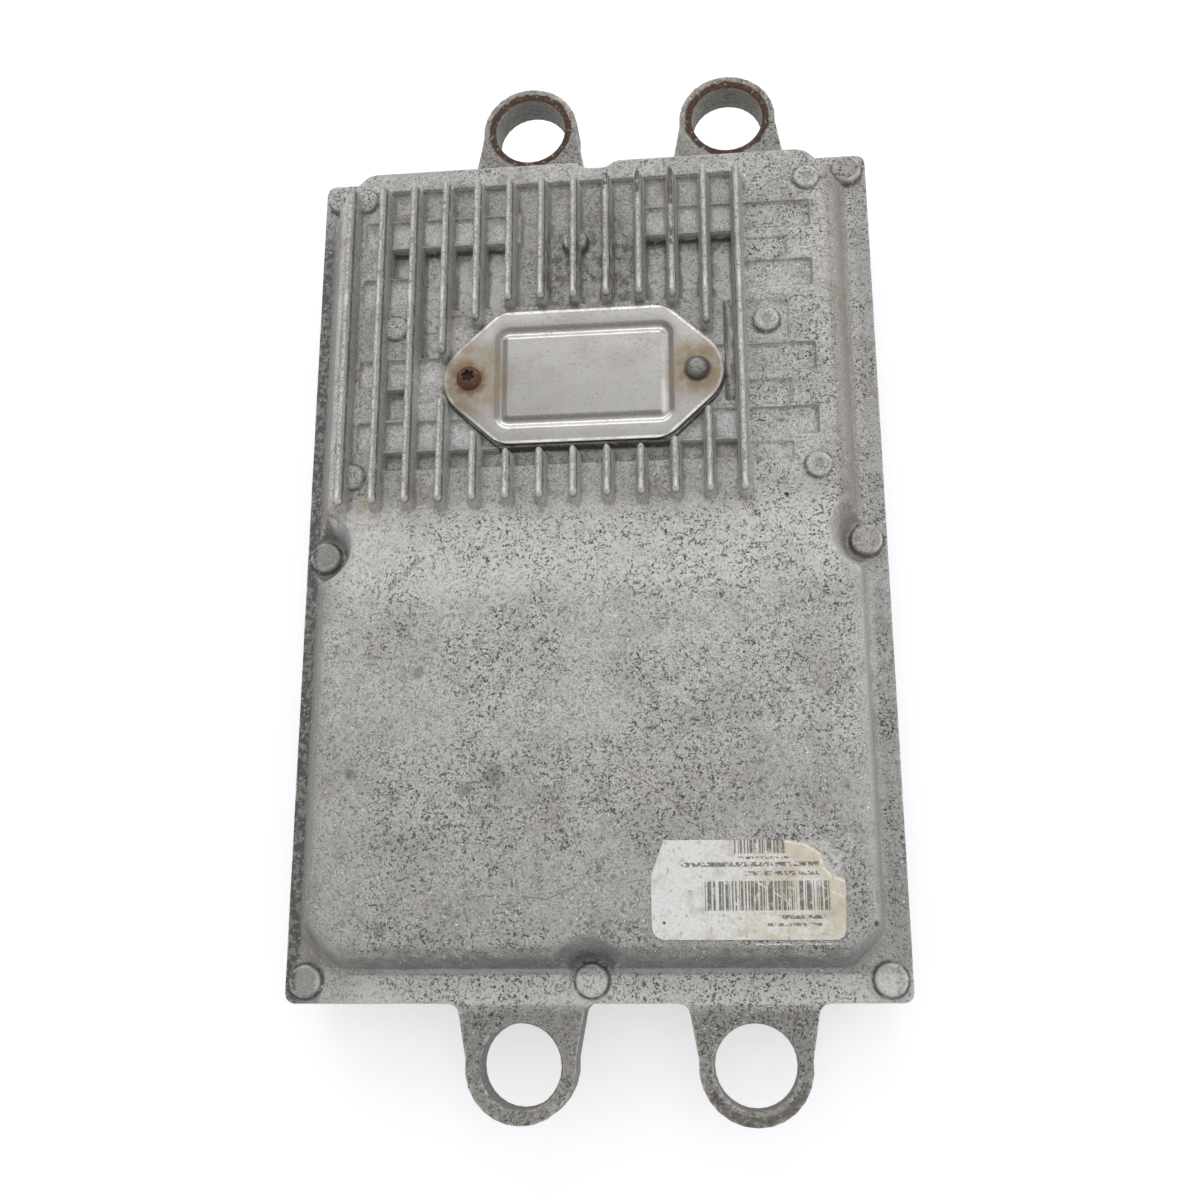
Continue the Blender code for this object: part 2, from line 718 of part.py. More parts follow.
def medium_pockets():
    """Sunken floor beside the first fin, and the row in front of the cover."""
    row_front = strip_span(0)[0] - POCKET_DRAFT
    places = fin_positions()
    front, rear = LEFT_FLOOR_MARGINS
    between = (strip_span(0)[1] + POCKET_DRAFT, strip_span(1)[0] - POCKET_DRAFT)
    return [
        floor_pocket((places[0], STRIP_LEFT_X[0]), (FIN_FRONT_Y + front, FIN_REAR_Y - rear),
                     MEDIUM_DEPTH),
        floor_pocket((places[1], places[-1]), (row_front - MEDIUM_ROW_WIDTH, row_front),
                     MEDIUM_DEPTH),
        floor_pocket((places[1], places[2]), between, MEDIUM_DEPTH),
    ]


def deep_pockets():
    """Deep pockets behind the access cover."""
    places = fin_positions()
    rear = strip_span(3)[0]
    row_gap = strip_span(2)[1]
    front = window_rear_edge()
    return [
        floor_pocket((places[1], places[2]), (row_gap, rear), DEEP_DEPTH),
        floor_pocket((places[2] + POCKET_DRAFT, places[3]), (strip_span(1)[1], rear), DEEP_DEPTH),
        floor_pocket((places[3] + POCKET_DRAFT, places[5]), (front, rear), DEEP_DEPTH),
        floor_pocket((places[-4], places[-1]), (front, rear), DEEP_DEPTH),
    ]


def side_slot():
    """Slot beside the last fin, from its deep pocket to the middle of the cover."""
    last = fin_positions()[-1]
    front = COVER_CENTRE[1] - STRIP_WIDTH
    rear = window_rear_edge() + OVERRUN / 2
    return [floor_pocket((last - FIN_PITCH / 2, last), (front, rear), DEEP_DEPTH)]


def ear_outline(x, end):
    """Tapered tongue with a round end and filleted root, at the rear (+1) or front (-1)."""
    centre_y = HALF_LENGTH + EAR_REACH
    root = EAR_ROOT_WIDTH / 2
    flare = root + EAR_ROOT_FILLET
    lean = math.atan2(root - EAR_RADIUS, EAR_REACH)
    points = [(-flare, HALF_LENGTH - OVERRUN), (flare, HALF_LENGTH - OVERRUN), (flare, HALF_LENGTH)]
    for step in range(1, CORNER_STEPS + 1):
        angle = math.pi / 2 * step / CORNER_STEPS
        points.append((
            root + EAR_ROOT_FILLET * (1 - math.sin(angle)),
            HALF_LENGTH + EAR_ROOT_FILLET * (1 - math.cos(angle)),
        ))
    arc_steps = BORE_STEPS // 2
    for step in range(arc_steps + 1):
        angle = -lean + (math.pi + 2 * lean) * step / arc_steps
        points.append((EAR_RADIUS * math.cos(angle), centre_y + EAR_RADIUS * math.sin(angle)))
    mirrored = [(-px, py) for px, py in reversed(points[2:3 + CORNER_STEPS])]
    outline = points + mirrored
    return [(x + px * end, py * end) for px, py in outline]


def ears_mesh():
    """The four mounting ears, flush with the flange's face."""
    bm = bmesh.new()
    for x in EAR_CENTRES_X:
        for end in (1, -1):
            outline = ear_outline(x, end)
            add_loft(bm, [(outline, FLANGE_Z - EAR_THICKNESS), (outline, FLANGE_Z)])
    return finish_mesh(bm, "ears")


def ear_bores_mesh():
    """Cutters for the ears' holes, with a small chamfer at both faces."""
    radius = EAR_BORE / 2
    wide = radius + EAR_BORE_CHAMFER
    low = FLANGE_Z - EAR_THICKNESS
    profile = [
        (0.0, low - OVERRUN),
        (wide, low - OVERRUN),
        (wide, low),
        (radius, low + EAR_BORE_CHAMFER),
        (radius, FLANGE_Z - EAR_BORE_CHAMFER),
        (wide, FLANGE_Z),
        (wide, FLANGE_Z + OVERRUN),
        (0.0, FLANGE_Z + OVERRUN),
    ]
    centre_y = HALF_LENGTH + EAR_REACH
    places = [(x, y) for x in EAR_CENTRES_X for y in (-centre_y, centre_y)]
    return turned_mesh("ear_bores", profile, places, BORE_STEPS)


def plateau_tool(shop):
    """The raised plateau with its curved walls around the screw bosses."""
    levels = [(shell_outline(0.0, 0.0, FOOT_SPREAD_LEFT), FLANGE_Z - OVERRUN)]
    for height, share in PLATEAU_SECTION:
        outline = shell_outline(share, 0.0, FOOT_SPREAD_LEFT)
        levels.append((outline, FLANGE_Z + PLATEAU_HEIGHT * height))
    plateau = shop.tool("plateau", loft_mesh("plateau", levels))
    profile = recess_profile(FLANGE_Z - 2 * OVERRUN, FLANGE_Z, PLATEAU_Z, 0.0)
    cut(plateau, recess_tool(shop, "plateau_recesses", profile))
    return plateau


def recess_tool(shop, name, profile):
    """Cutter for the conical spaces around the recessed screws."""
    return shop.tool(name, turned_mesh(name, profile, recessed_screw_places(), RECESS_STEPS))


def cavity_tool(shop):
    """Space inside the housing, open at the rim."""
    low = RIM_Z - OVERRUN
    outline = shell_outline(1.0, WALL)
    cavity = shop.tool("cavity", loft_mesh("cavity", [(outline, low), (outline, FRONT_ROOF_Z)]))
    thick_floor = ((-HALF_WIDTH, ROOF_STEP_Y, REAR_ROOF_Z), (HALF_WIDTH, HALF_LENGTH, PLATEAU_Z))
    cut(cavity, shop.tool("rear_roof", boxes_mesh("rear_roof", [thick_floor])))
    profile = recess_profile(low - OVERRUN, FLANGE_Z, PLATEAU_Z, WALL)
    cut(cavity, recess_tool(shop, "cavity_recesses", profile))
    return cavity


def boss_profile():
    """Raised end of a blind screw boss."""
    radius = BOSS_DIAMETER / 2
    top = FLANGE_Z + BOSS_HEIGHT
    return [
        (0.0, FLANGE_Z - OVERRUN),
        (radius, FLANGE_Z - OVERRUN),
        (radius, top - BOSS_EDGE),
        (radius - BOSS_EDGE, top),
        (0.0, top),
    ]


def board_boss_profile():
    """Round boss end on the floor."""
    radius = BOARD_BOSS_DIAMETER / 2
    top = PLATEAU_Z + BOARD_BOSS_RISE
    return [
        (0.0, PLATEAU_Z - DEEP_DEPTH - OVERRUN / 2),
        (radius, PLATEAU_Z - DEEP_DEPTH - OVERRUN / 2),
        (radius, top - BOARD_BOSS_EDGE),
        (radius - BOARD_BOSS_EDGE, top),
        (0.0, top),
    ]


def dimpled_boss_profile():
    """The same boss end with a shallow dimple in its top."""
    dimple = BOARD_BOSS_DIMPLE / 2
    top = PLATEAU_Z + BOARD_BOSS_RISE
    return board_boss_profile()[:-1] + [
        (dimple, top),
        (dimple - BOARD_BOSS_DIMPLE_DEPTH, top - BOARD_BOSS_DIMPLE_DEPTH),
        (0.0, top - BOARD_BOSS_DIMPLE_DEPTH),
    ]


def inner_boss_profile():
    """Boss inside the housing that the driver board is screwed against."""
    return rod_profile(BOARD_BOSS_DIAMETER / 2, DRIVER_TOP_Z + SEAT_GAP, REAR_ROOF_Z + OVERRUN / 2)


def rod_profile(radius, low, high):
    """Plain cylinder."""
    return [(0.0, low), (radius, low), (radius, high), (0.0, high)]


def cut_holes(shop, target, name, radius, span, places, steps=SCREW_HOLE_STEPS):
    """Cut a round hole from one height to another at each place."""
    cut(target, shop.tool(name, turned_mesh(name, rod_profile(radius, *span), places, steps)))


def join_turned(shop, target, name, profile, places, steps):
    """Add a turned form to the target at each place."""
    join(target, shop.tool(name, turned_mesh(name, profile, places, steps)))


def build_housing(shop, material):
    """Die-cast housing: rim, ears, plateau, floor pockets, fins, bosses, window and cavity."""
    rim = rectangle(HALF_WIDTH, HALF_LENGTH, BODY_CORNER_RADIUS)
    mesh = loft_mesh("finned_housing", [(rim, RIM_Z), (rim, FLANGE_Z)])
    housing = shop.part("finned_housing", mesh, material)
    join(housing, shop.tool("ears", ears_mesh()))
    join(housing, plateau_tool(shop))
    for name, boxes in (
        ("strips", strip_pockets()),
        ("narrow_fields", narrow_pockets()),
        ("shallow_floor", shallow_pockets()),
        ("shallow_passage", shallow_passage()),
        ("medium_floor", medium_pockets()),
        ("deep_floor", deep_pockets()),
        ("side_slot", side_slot()),
    ):
        cut(housing, shop.tool(name, boxes_mesh(name, boxes, POCKET_DRAFT)))
    join(housing, shop.tool("fins", fins_mesh()))
    places = board_boss_places()
    dimpled = len(BOARD_BOSSES_RIGHT)
    join_turned(shop, housing, "dimpled_boss_ends", dimpled_boss_profile(), places[:dimpled],
                BOARD_BOSS_STEPS)
    join_turned(shop, housing, "plain_boss_ends", board_boss_profile(), places[dimpled:],
                BOARD_BOSS_STEPS)
    join_turned(shop, housing, "screw_bosses", boss_profile(), screw_places(), BOSS_STEPS)
    cut(housing, cavity_tool(shop))
    join_turned(shop, housing, "inner_bosses", inner_boss_profile(), places, BOARD_BOSS_STEPS)
    cut(housing, window_tool(shop))
    cut(housing, shop.tool("ear_bores", ear_bores_mesh()))
    cut_housing_screw_holes(shop, housing)
    return housing


def cut_housing_screw_holes(shop, housing):
    """Blind holes for the base cover's, the access cover's and the driver board's screws."""
    tip = base_screw_seat() + BASE_SCREW_LENGTH + SEAT_GAP
    cut_holes(shop, housing, "base_screw_holes", BASE_SCREW_SHANK / 2 + SHANK_GAP,
              (RIM_Z - OVERRUN, tip), screw_places())
    tip = cover_screw_seat() - COVER_SCREW_LENGTH - SEAT_GAP
    cut_holes(shop, housing, "cover_screw_holes", COVER_SCREW_SHANK / 2 + SHANK_GAP,
              (tip, PLATEAU_Z + OVERRUN), cover_screw_places(), COVER_HOLE_STEPS)
    tip = DRIVER_TOP_Z + BOARD_SCREW_GRIP + SEAT_GAP
    cut_holes(shop, housing, "board_screw_holes", BOARD_SCREW_SHANK / 2 + SHANK_GAP,
              (DRIVER_Z, tip), board_boss_places())


def window_outline():
    """Window under the access cover, just wider than the cover's pressed moat."""
    return rectangle(
        COVER_MOAT_SIZE[0] / 2 + WINDOW_MARGIN,
        COVER_MOAT_SIZE[1] / 2 + WINDOW_MARGIN,
        COVER_MOAT_RADIUS,
        COVER_CENTRE,
    )


def window_tool(shop):
    """Cutter for the window."""
    outline = window_outline()
    levels = [(outline, REAR_ROOF_Z - OVERRUN), (outline, PLATEAU_Z + OVERRUN)]
    return shop.tool("window", loft_mesh("window", levels))


def base_screw_seat():
    """Height where a base screw's head meets the base cover."""
    return TRAY_HEIGHT - WALL - SEAT_GAP


def cover_screw_seat():
    """Height where an access cover screw's head meets the sheet."""
    return PLATEAU_Z + 2 * SEAT_GAP + COVER_GASKET + COVER_SHEET + SEAT_GAP


def cover_screw_places():
    """Where the access cover's two screws stand."""
    x, y = COVER_CENTRE
    return [(x - COVER_SCREW_REACH, y), (x + COVER_SCREW_REACH, y)]


def cover_screw_circles():
    """Outlines of the two screw holes in the sheet and in its gasket."""
    hole = COVER_SCREW_SHANK / 2 + SHANK_GAP
    return [circle(place, hole, COVER_HOLE_STEPS) for place in cover_screw_places()]


def pan_head_screw_mesh(name, shank, length, head, head_height, steps):
    """Pan head screw along Z with its seat at the origin and its shank below."""
    crown, side = PAN_HEAD_SHAPE
    profile = [
        (0.0, head_height),
        (head / 2 * crown, head_height),
        (head / 2, head_height * side),
        (head / 2, 0.0),
        (shank / 2, 0.0),
        (shank / 2, -length),
        (0.0, -length),
    ]
    return turned_mesh(name, profile, [(0.0, 0.0)], steps)


def build_screws(shop, material, prefix, places, seat, sizes, points_up):
    """A row of like screws, each its own piece, seated at one height."""
    for index, (x, y) in enumerate(places, start=1):
        name = f"{prefix}_{index}"
        screw = shop.part(name, pan_head_screw_mesh(name, *sizes), material)
        screw.location = (x, y, seat)
        if points_up:
            screw.rotation_euler = (math.pi, 0.0, 0.0)


def build_access_cover(shop, material):
    """Pressed sheet: a flat rim, a moat around a level panel, and two screw holes."""
    seat = PLATEAU_Z + 2 * SEAT_GAP + COVER_GASKET
    top = seat + COVER_SHEET
    half_x, half_y = (size / 2 for size in COVER_MOAT_SIZE)
    moat = rectangle(half_x, half_y, COVER_MOAT_RADIUS, COVER_CENTRE)
    loops = [cover_outline(), moat] + cover_screw_circles()
    bm = bmesh.new()
    rings = []
    for loop in loops:
        verts = [bm.verts.new((x, y, top)) for x, y in loop]
        rings.append([bm.edges.new((a, b)) for a, b in zip(verts, verts[1:] + verts[:1])])
    bmesh.ops.triangle_fill(bm, edges=[edge for ring in rings for edge in ring], use_beauty=True)
    levels = (
        (COVER_MOAT_WALL, COVER_MOAT_DEPTH),
        (COVER_MOAT_WALL + COVER_MOAT_WIDTH, COVER_MOAT_DEPTH),
        (2 * COVER_MOAT_WALL + COVER_MOAT_WIDTH, -COVER_PANEL_RISE),
    )
    edges = rings[1]
    outline = moat
    for inset, drop in levels:
        radius = max(COVER_MOAT_RADIUS - inset, COVER_MOAT_WALL)
        following = rectangle(half_x - inset, half_y - inset, radius, COVER_CENTRE)
        grown = bmesh.ops.extrude_edge_only(bm, edges=edges)["geom"]
        edges = [item for item in grown if isinstance(item, bmesh.types.BMEdge)]
        verts = {vert for edge in edges for vert in edge.verts}
        move_ring(verts, outline, following, top - drop)
        outline = following
    bmesh.ops.contextual_create(bm, geom=edges)
    cover = shop.part("access_cover", finish_mesh(bm, "access_cover"), material)
    sheet = cover.modifiers.new("sheet", "SOLIDIFY")
    sheet.thickness = COVER_SHEET
    sheet.offset = -1.0
    sheet.use_even_offset = True
    return cover


def build_access_gasket(shop, material):
    """Thin gasket between the access cover and the floor around the window."""
    low = PLATEAU_Z + SEAT_GAP
    outlines = [cover_outline(-BOARD_GAP), window_outline()] + cover_screw_circles()
    mesh = plate_mesh("access_cover_gasket", outlines, low, low + COVER_GASKET)
    shop.part("access_cover_gasket", mesh, material)


def tray_shell(shop, name, inset, low, high):
    """Tub of the base cover, offset inward by the inset."""
    bottom, mouth = TUB_SHARES
    levels = [(shell_outline(bottom, inset), low), (shell_outline(mouth, inset), high)]
    return shop.tool(name, loft_mesh(name, levels))


def header_rows():
    """Centre and width of each connector header, from left to right."""
    offset = SMALL_HEADER_WIDTH / 2 + HEADER_GAP + LARGE_HEADER_WIDTH / 2
    return [(-offset, LARGE_HEADER_WIDTH), (0.0, SMALL_HEADER_WIDTH), (offset, LARGE_HEADER_WIDTH)]


def header_outline(x, width, grow):
    """Outline of a header's shroud, grown or shrunk evenly."""
    radius = HEADER_CORNER_RADIUS + grow
    return rectangle(width / 2 + grow, HEADER_DEPTH / 2 + grow, radius, (x, HEADER_Y))


def build_base_cover(shop, material):
    """Base cover: a flange that closes the rim, a tub, header windows and board posts."""
    flange = rectangle(HALF_WIDTH, HALF_LENGTH, BODY_CORNER_RADIUS)
    flange_low = TRAY_HEIGHT - WALL
    mesh = loft_mesh("base_cover", [(flange, flange_low), (flange, TRAY_HEIGHT)])
    tray = shop.part("base_cover", mesh, material)
    tub = tray_shell(shop, "tray_outside", 0.0, 0.0, TRAY_HEIGHT - WALL / 2)
    profile = recess_profile(TRAY_HEIGHT, flange_low, 0.0, 0.0)
    cut(tub, recess_tool(shop, "tray_recesses", profile))
    join(tray, tub)
    inside = tray_shell(shop, "tray_inside", WALL, WALL, TRAY_HEIGHT + OVERRUN)
    profile = recess_profile(TRAY_HEIGHT + 2 * OVERRUN, flange_low, 0.0, WALL)
    cut(inside, recess_tool(shop, "tray_inner_recesses", profile))
    cut(tray, inside)
    windows = bmesh.new()
    for x, width in header_rows():
        outline = header_outline(x, width, SEAT_GAP)
        add_loft(windows, [(outline, -OVERRUN), (outline, WALL + OVERRUN)])
    cut(tray, shop.tool("header_windows", finish_mesh(windows, "header_windows")))
    post_top = LOGIC_Z - SEAT_GAP
    join_turned(shop, tray, "posts", rod_profile(POST_DIAMETER / 2, WALL / 2, post_top),
                LOGIC_POST_PLACES, BOARD_BOSS_STEPS)
    cut_holes(shop, tray, "tray_screw_holes", BASE_SCREW_SHANK / 2 + SHANK_GAP,
              (flange_low - OVERRUN, TRAY_HEIGHT + OVERRUN), screw_places())
    hole_low = LOGIC_Z - BOARD_SCREW_GRIP - SEAT_GAP
    cut_holes(shop, tray, "post_holes", BOARD_SCREW_SHANK / 2 + SHANK_GAP,
              (hole_low, post_top + OVERRUN), LOGIC_POST_PLACES)
    return tray


def build_housing_gasket(shop, material):
    """Flat gasket on the rim with a hole for each screw."""
    outer = rectangle(HALF_WIDTH - BOARD_GAP, HALF_LENGTH - BOARD_GAP, BODY_CORNER_RADIUS)
    inner = shell_outline(1.0, WALL)
    hole = BASE_SCREW_SHANK / 2 + SHANK_GAP
    outlines = [outer, inner]
    outlines += [circle(place, hole, SCREW_HOLE_STEPS) for place in screw_places()]
    mesh = plate_mesh("housing_gasket", outlines, GASKET_Z, GASKET_Z + GASKET_THICKNESS)
    shop.part("housing_gasket", mesh, material)


def build_header(shop, material, name, x, width):
    """Connector header: a shroud open at the bottom, a seating flange and rows of pins."""
    low = HEADER_RECESS
    shroud = header_outline(x, width, 0.0)
    header = shop.part(name, loft_mesh(name, [(shroud, low), (shroud, HEADER_TOP_Z)]), material)
    flange = header_outline(x, width, HEADER_FLANGE)
    flange_low = WALL + SEAT_GAP
    levels = [(flange, flange_low), (flange, flange_low + HEADER_FLANGE_THICKNESS)]
    join(header, shop.tool(f"{name}_flange", loft_mesh(f"{name}_flange", levels)))
    socket = header_outline(x, width, -HEADER_WALL)
    socket_top = low + SOCKET_DEPTH
    levels = [(socket, low - OVERRUN), (socket, socket_top)]
    cut(header, shop.tool(f"{name}_socket", loft_mesh(f"{name}_socket", levels)))
    boxes = pin_boxes(x, width, socket_top)
    join(header, shop.tool(f"{name}_pins", boxes_mesh(f"{name}_pins", boxes, PIN_POINT)))
    return header


def pin_boxes(x, width, root):
    """Boxes of a header's pins, in as many columns and rows as its socket holds."""
    columns = int((width - 2 * HEADER_WALL - 2 * PIN_MARGIN_ACROSS) / PIN_PITCH) + 1
    rows = int((HEADER_DEPTH - 2 * HEADER_WALL - 2 * PIN_MARGIN_ALONG) / PIN_PITCH) + 1
    half = PIN_SIZE / 2
    boxes = []
    for column in range(columns):
        for row in range(rows):
            px = x + (column - (columns - 1) / 2) * PIN_PITCH
            py = HEADER_Y + (row - (rows - 1) / 2) * PIN_PITCH
            low = (px - half, py - half, root - PIN_LENGTH)
            high = (px + half, py + half, root + HEADER_WALL / 2)
            boxes.append((low, high))
    return boxes


def build_headers(shop, material):
    """The three headers in a row."""
    names = ("connector_header_left", "connector_header_middle", "connector_header_right")
    for name, (x, width) in zip(names, header_rows()):
        build_header(shop, material, name, x, width)


def driver_board_outline():
    """Board under the finned floor, just inside the cavity."""
    inset = WALL + BOARD_GAP
    left = -HALF_WIDTH + CROWN_MARGIN_LEFT + inset
    right = HALF_WIDTH - CROWN_MARGIN_RIGHT_REAR - inset
    cavity_rear = HALF_LENGTH - CROWN_MARGIN_REAR - inset
    rear = cavity_rear - NOTCH_DEPTH
    rear_right = inset_chamfer(CHAMFER_REAR_RIGHT, inset)
    rear_left = inset_chamfer(CHAMFER_REAR_LEFT, inset)
    radius = CROWN_CORNER_RADIUS / 4
    return rounded_outline([
        (left, DRIVER_BOARD_FRONT_Y, radius),
        (right, DRIVER_BOARD_FRONT_Y, radius),
        (right, cavity_rear - rear_right[1], radius),
        (right - rear_right[0] * (1 - NOTCH_DEPTH / rear_right[1]), rear, radius),
        (left + rear_left[0] * (1 - NOTCH_DEPTH / rear_left[1]), rear, radius),
        (left, cavity_rear - rear_left[1], radius),
    ], SHELL_CORNER_STEPS)


def build_board(shop, material, name, outline, places, low):
    """A board with a hole for each of its screws."""
    hole = BOARD_SCREW_SHANK / 2 + SHANK_GAP
    outlines = [outline] + [circle(place, hole, SCREW_HOLE_STEPS) for place in places]
    shop.part(name, plate_mesh(name, outlines, low, low + BOARD_THICKNESS), material)


def build_boards(shop, material):
    """Driver board under the fins and logic board over the headers."""
    build_board(shop, material, "driver_board", driver_board_outline(), board_boss_places(), DRIVER_Z)
    middle_y = sum(LOGIC_BOARD_Y) / 2
    half_y = (LOGIC_BOARD_Y[1] - LOGIC_BOARD_Y[0]) / 2
    edge = rectangle(LOGIC_BOARD_HALF_WIDTH, half_y, CROWN_CORNER_RADIUS / 2, (0.0, middle_y))
    build_board(shop, material, "logic_board", edge, LOGIC_POST_PLACES, LOGIC_Z)


def build_transistors(shop, material):
    """One power transistor under each strip, lying on the driver board with its tab to the roof."""
    length, width = TRANSISTOR_SIZE
    low = DRIVER_TOP_Z + SEAT_GAP
    high = low + TRANSISTOR_HEIGHT
    index = 0
    for y in strip_rows():
        for x_range, side in ((STRIP_LEFT_X, -1), (STRIP_RIGHT_X, 1)):
            index += 1
            x = sum(x_range) / 2
            name = f"power_transistor_{index}"
            body = [((x - length / 2, y - width / 2, low), (x + length / 2, y + width / 2, high))]
            item = shop.part(name, boxes_mesh(name, body), material)
            reach = (length / 2 - OVERRUN / 2, length / 2 + TRANSISTOR_TAB)
            ends = sorted(x + side * far for far in reach)
            half = TRANSISTOR_TAB_WIDTH / 2
            tab = [(
                (ends[0], y - half, high - TRANSISTOR_TAB_DROP - TRANSISTOR_TAB_THICKNESS),
                (ends[1], y + half, high - TRANSISTOR_TAB_DROP),
            )]
            join(item, shop.tool(f"tab_{index}", boxes_mesh(f"tab_{index}", tab)))


def build_capacitors(shop, material):
    """Storage capacitors that hang under the driver board."""
    top = DRIVER_Z - SEAT_GAP
    low = top - CAPACITOR_LENGTH
    radius = CAPACITOR_DIAMETER / 2
    groove = top - CAPACITOR_GROOVE_DROP
    profile = [
        (0.0, low),
        (radius - CAPACITOR_EDGE, low),
        (radius, low + CAPACITOR_EDGE),
        (radius, groove - CAPACITOR_GROOVE),
        (radius - CAPACITOR_GROOVE, groove),
        (radius, groove + CAPACITOR_GROOVE),
        (radius, top),
        (0.0, top),
    ]
    for index, x in enumerate(CAPACITOR_PLACES_X, start=1):
        name = f"storage_capacitor_{index}"
        mesh = turned_mesh(name, profile, [(x, CAPACITOR_Y)], CAPACITOR_STEPS)
        shop.part(name, mesh, material)


def build_coils(shop, material):
    """Boost coils wound on drum cores under the driver board."""
    top = DRIVER_Z - SEAT_GAP
    low = top - COIL_HEIGHT
    radius = COIL_DIAMETER / 2
    waist = COIL_WAIST / 2
    profile = [
        (0.0, low),
        (radius, low),
        (radius, low + COIL_CHEEK),
        (waist, low + COIL_CHEEK),
        (waist, top - COIL_CHEEK),
        (radius, top - COIL_CHEEK),
        (radius, top),
        (0.0, top),
    ]
    for index, x in enumerate(COIL_PLACES_X, start=1):
        name = f"boost_coil_{index}"
        shop.part(name, turned_mesh(name, profile, [(x, COIL_Y)], COIL_STEPS), material)


def build_processor(shop, material):
    """Processor chip on the logic board."""
    x = 0.0
    y = (HEADER_Y + HEADER_DEPTH / 2 + LINK_Y) / 2
    half = PROCESSOR_SIZE / 2
    low = LOGIC_TOP_Z + SEAT_GAP
    body = [((x - half, y - half, low), (x + half, y + half, low + PROCESSOR_HEIGHT))]
    chip = shop.part("processor", boxes_mesh("processor", body), material)
    edge = chip.modifiers.new("edge", "BEVEL")
    edge.width = PROCESSOR_EDGE
    edge.segments = 1


def build_board_link(shop, material):
    """Pin strip that joins the two boards."""
    half_x, half_y = LINK_SIZE[0] / 2, LINK_SIZE[1] / 2
    low = (-half_x, LINK_Y - half_y, LOGIC_TOP_Z + SEAT_GAP)
    high = (half_x, LINK_Y + half_y, DRIVER_Z - SEAT_GAP)
    shop.part("board_link", boxes_mesh("board_link", [(low, high)]), material)


def build_label(shop, material):
    """Thin paper label on the plateau's smooth front."""
    low = PLATEAU_Z + LABEL_GAP
    half_x = LABEL_SIZE[0] / 2
    half_y = LABEL_SIZE[1] / 2
    centre = (HALF_WIDTH - LABEL_MARGIN_RIGHT - half_x,
              -HALF_LENGTH + LABEL_MARGIN_FRONT + half_y)
    outline = rectangle(half_x, half_y, LABEL_CORNER_RADIUS, centre)
    mesh = plate_mesh("paper_label", [outline], low, low + LABEL_THICKNESS)
    shop.part("paper_label", mesh, material)


def main():
    """Build every piece of the module."""
    clear_scene()
    shop = Workshop()
    cast = new_material("cast_aluminium", (0.50, 0.49, 0.46), 0.55, 0.9)
    tray = new_material("cast_aluminium_cover", (0.46, 0.45, 0.43), 0.6, 0.9)
    sheet = new_material("plated_sheet", (0.62, 0.61, 0.58), 0.35, 1.0)
    steel = new_material("zinc_plated_steel", (0.42, 0.41, 0.39), 0.45, 1.0)
    rubber = new_material("black_rubber", (0.02, 0.02, 0.02), 0.8, 0.0)
    plastic = new_material("black_plastic", (0.025, 0.025, 0.028), 0.5, 0.0)
    laminate = new_material("green_laminate", (0.02, 0.16, 0.06), 0.45, 0.0)
    can = new_material("capacitor_sleeve", (0.03, 0.04, 0.10), 0.4, 0.0)
    copper = new_material("coil_copper", (0.50, 0.20, 0.08), 0.4, 0.8)
    paper = new_material("label_paper", (0.80, 0.78, 0.72), 0.8, 0.0)

    build_housing(shop, cast)
    build_base_cover(shop, tray)
    build_housing_gasket(shop, rubber)
    build_access_cover(shop, sheet)
    build_access_gasket(shop, rubber)
    cover_screw = (COVER_SCREW_SHANK, COVER_SCREW_LENGTH, COVER_SCREW_HEAD, COVER_SCREW_HEAD_HEIGHT,
                   COVER_SCREW_STEPS)
    base_screw = (BASE_SCREW_SHANK, BASE_SCREW_LENGTH, BASE_SCREW_HEAD, BASE_SCREW_HEAD_HEIGHT,
                  BASE_SCREW_STEPS)
    board_screw = (BOARD_SCREW_SHANK, BOARD_THICKNESS + BOARD_SCREW_GRIP, BOARD_SCREW_HEAD,
                   BOARD_SCREW_HEAD_HEIGHT, BOARD_SCREW_STEPS)
    build_screws(shop, steel, "access_cover_screw", cover_screw_places(), cover_screw_seat(),
                 cover_screw, False)
    build_screws(shop, steel, "base_cover_screw", screw_places(), base_screw_seat(), base_screw, True)
    build_screws(shop, steel, "driver_board_screw", board_boss_places(), DRIVER_Z - SEAT_GAP,
                 board_screw, True)
    build_screws(shop, steel, "logic_board_screw", LOGIC_POST_PLACES, LOGIC_TOP_Z + SEAT_GAP,
                 board_screw, False)
    build_boards(shop, laminate)
    build_transistors(shop, plastic)
    build_capacitors(shop, can)
    build_coils(shop, copper)
    build_processor(shop, plastic)
    build_board_link(shop, plastic)
    build_headers(shop, plastic)
    build_label(shop, paper)


main()
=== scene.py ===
"""Looks of a fuel injection control module: a worn aluminium casting with cooling fins.

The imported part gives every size. The castings are softened copies of their solids, and the pieces
that show fine detail are modelled here: cover plate, screws, paper label and connector pins.
"""

import json
import logging
import math
from dataclasses import dataclass
from enum import Enum
from typing import Protocol, Sequence

import bmesh
import bpy
import numpy as np
from mathutils import Matrix, Quaternion, Vector

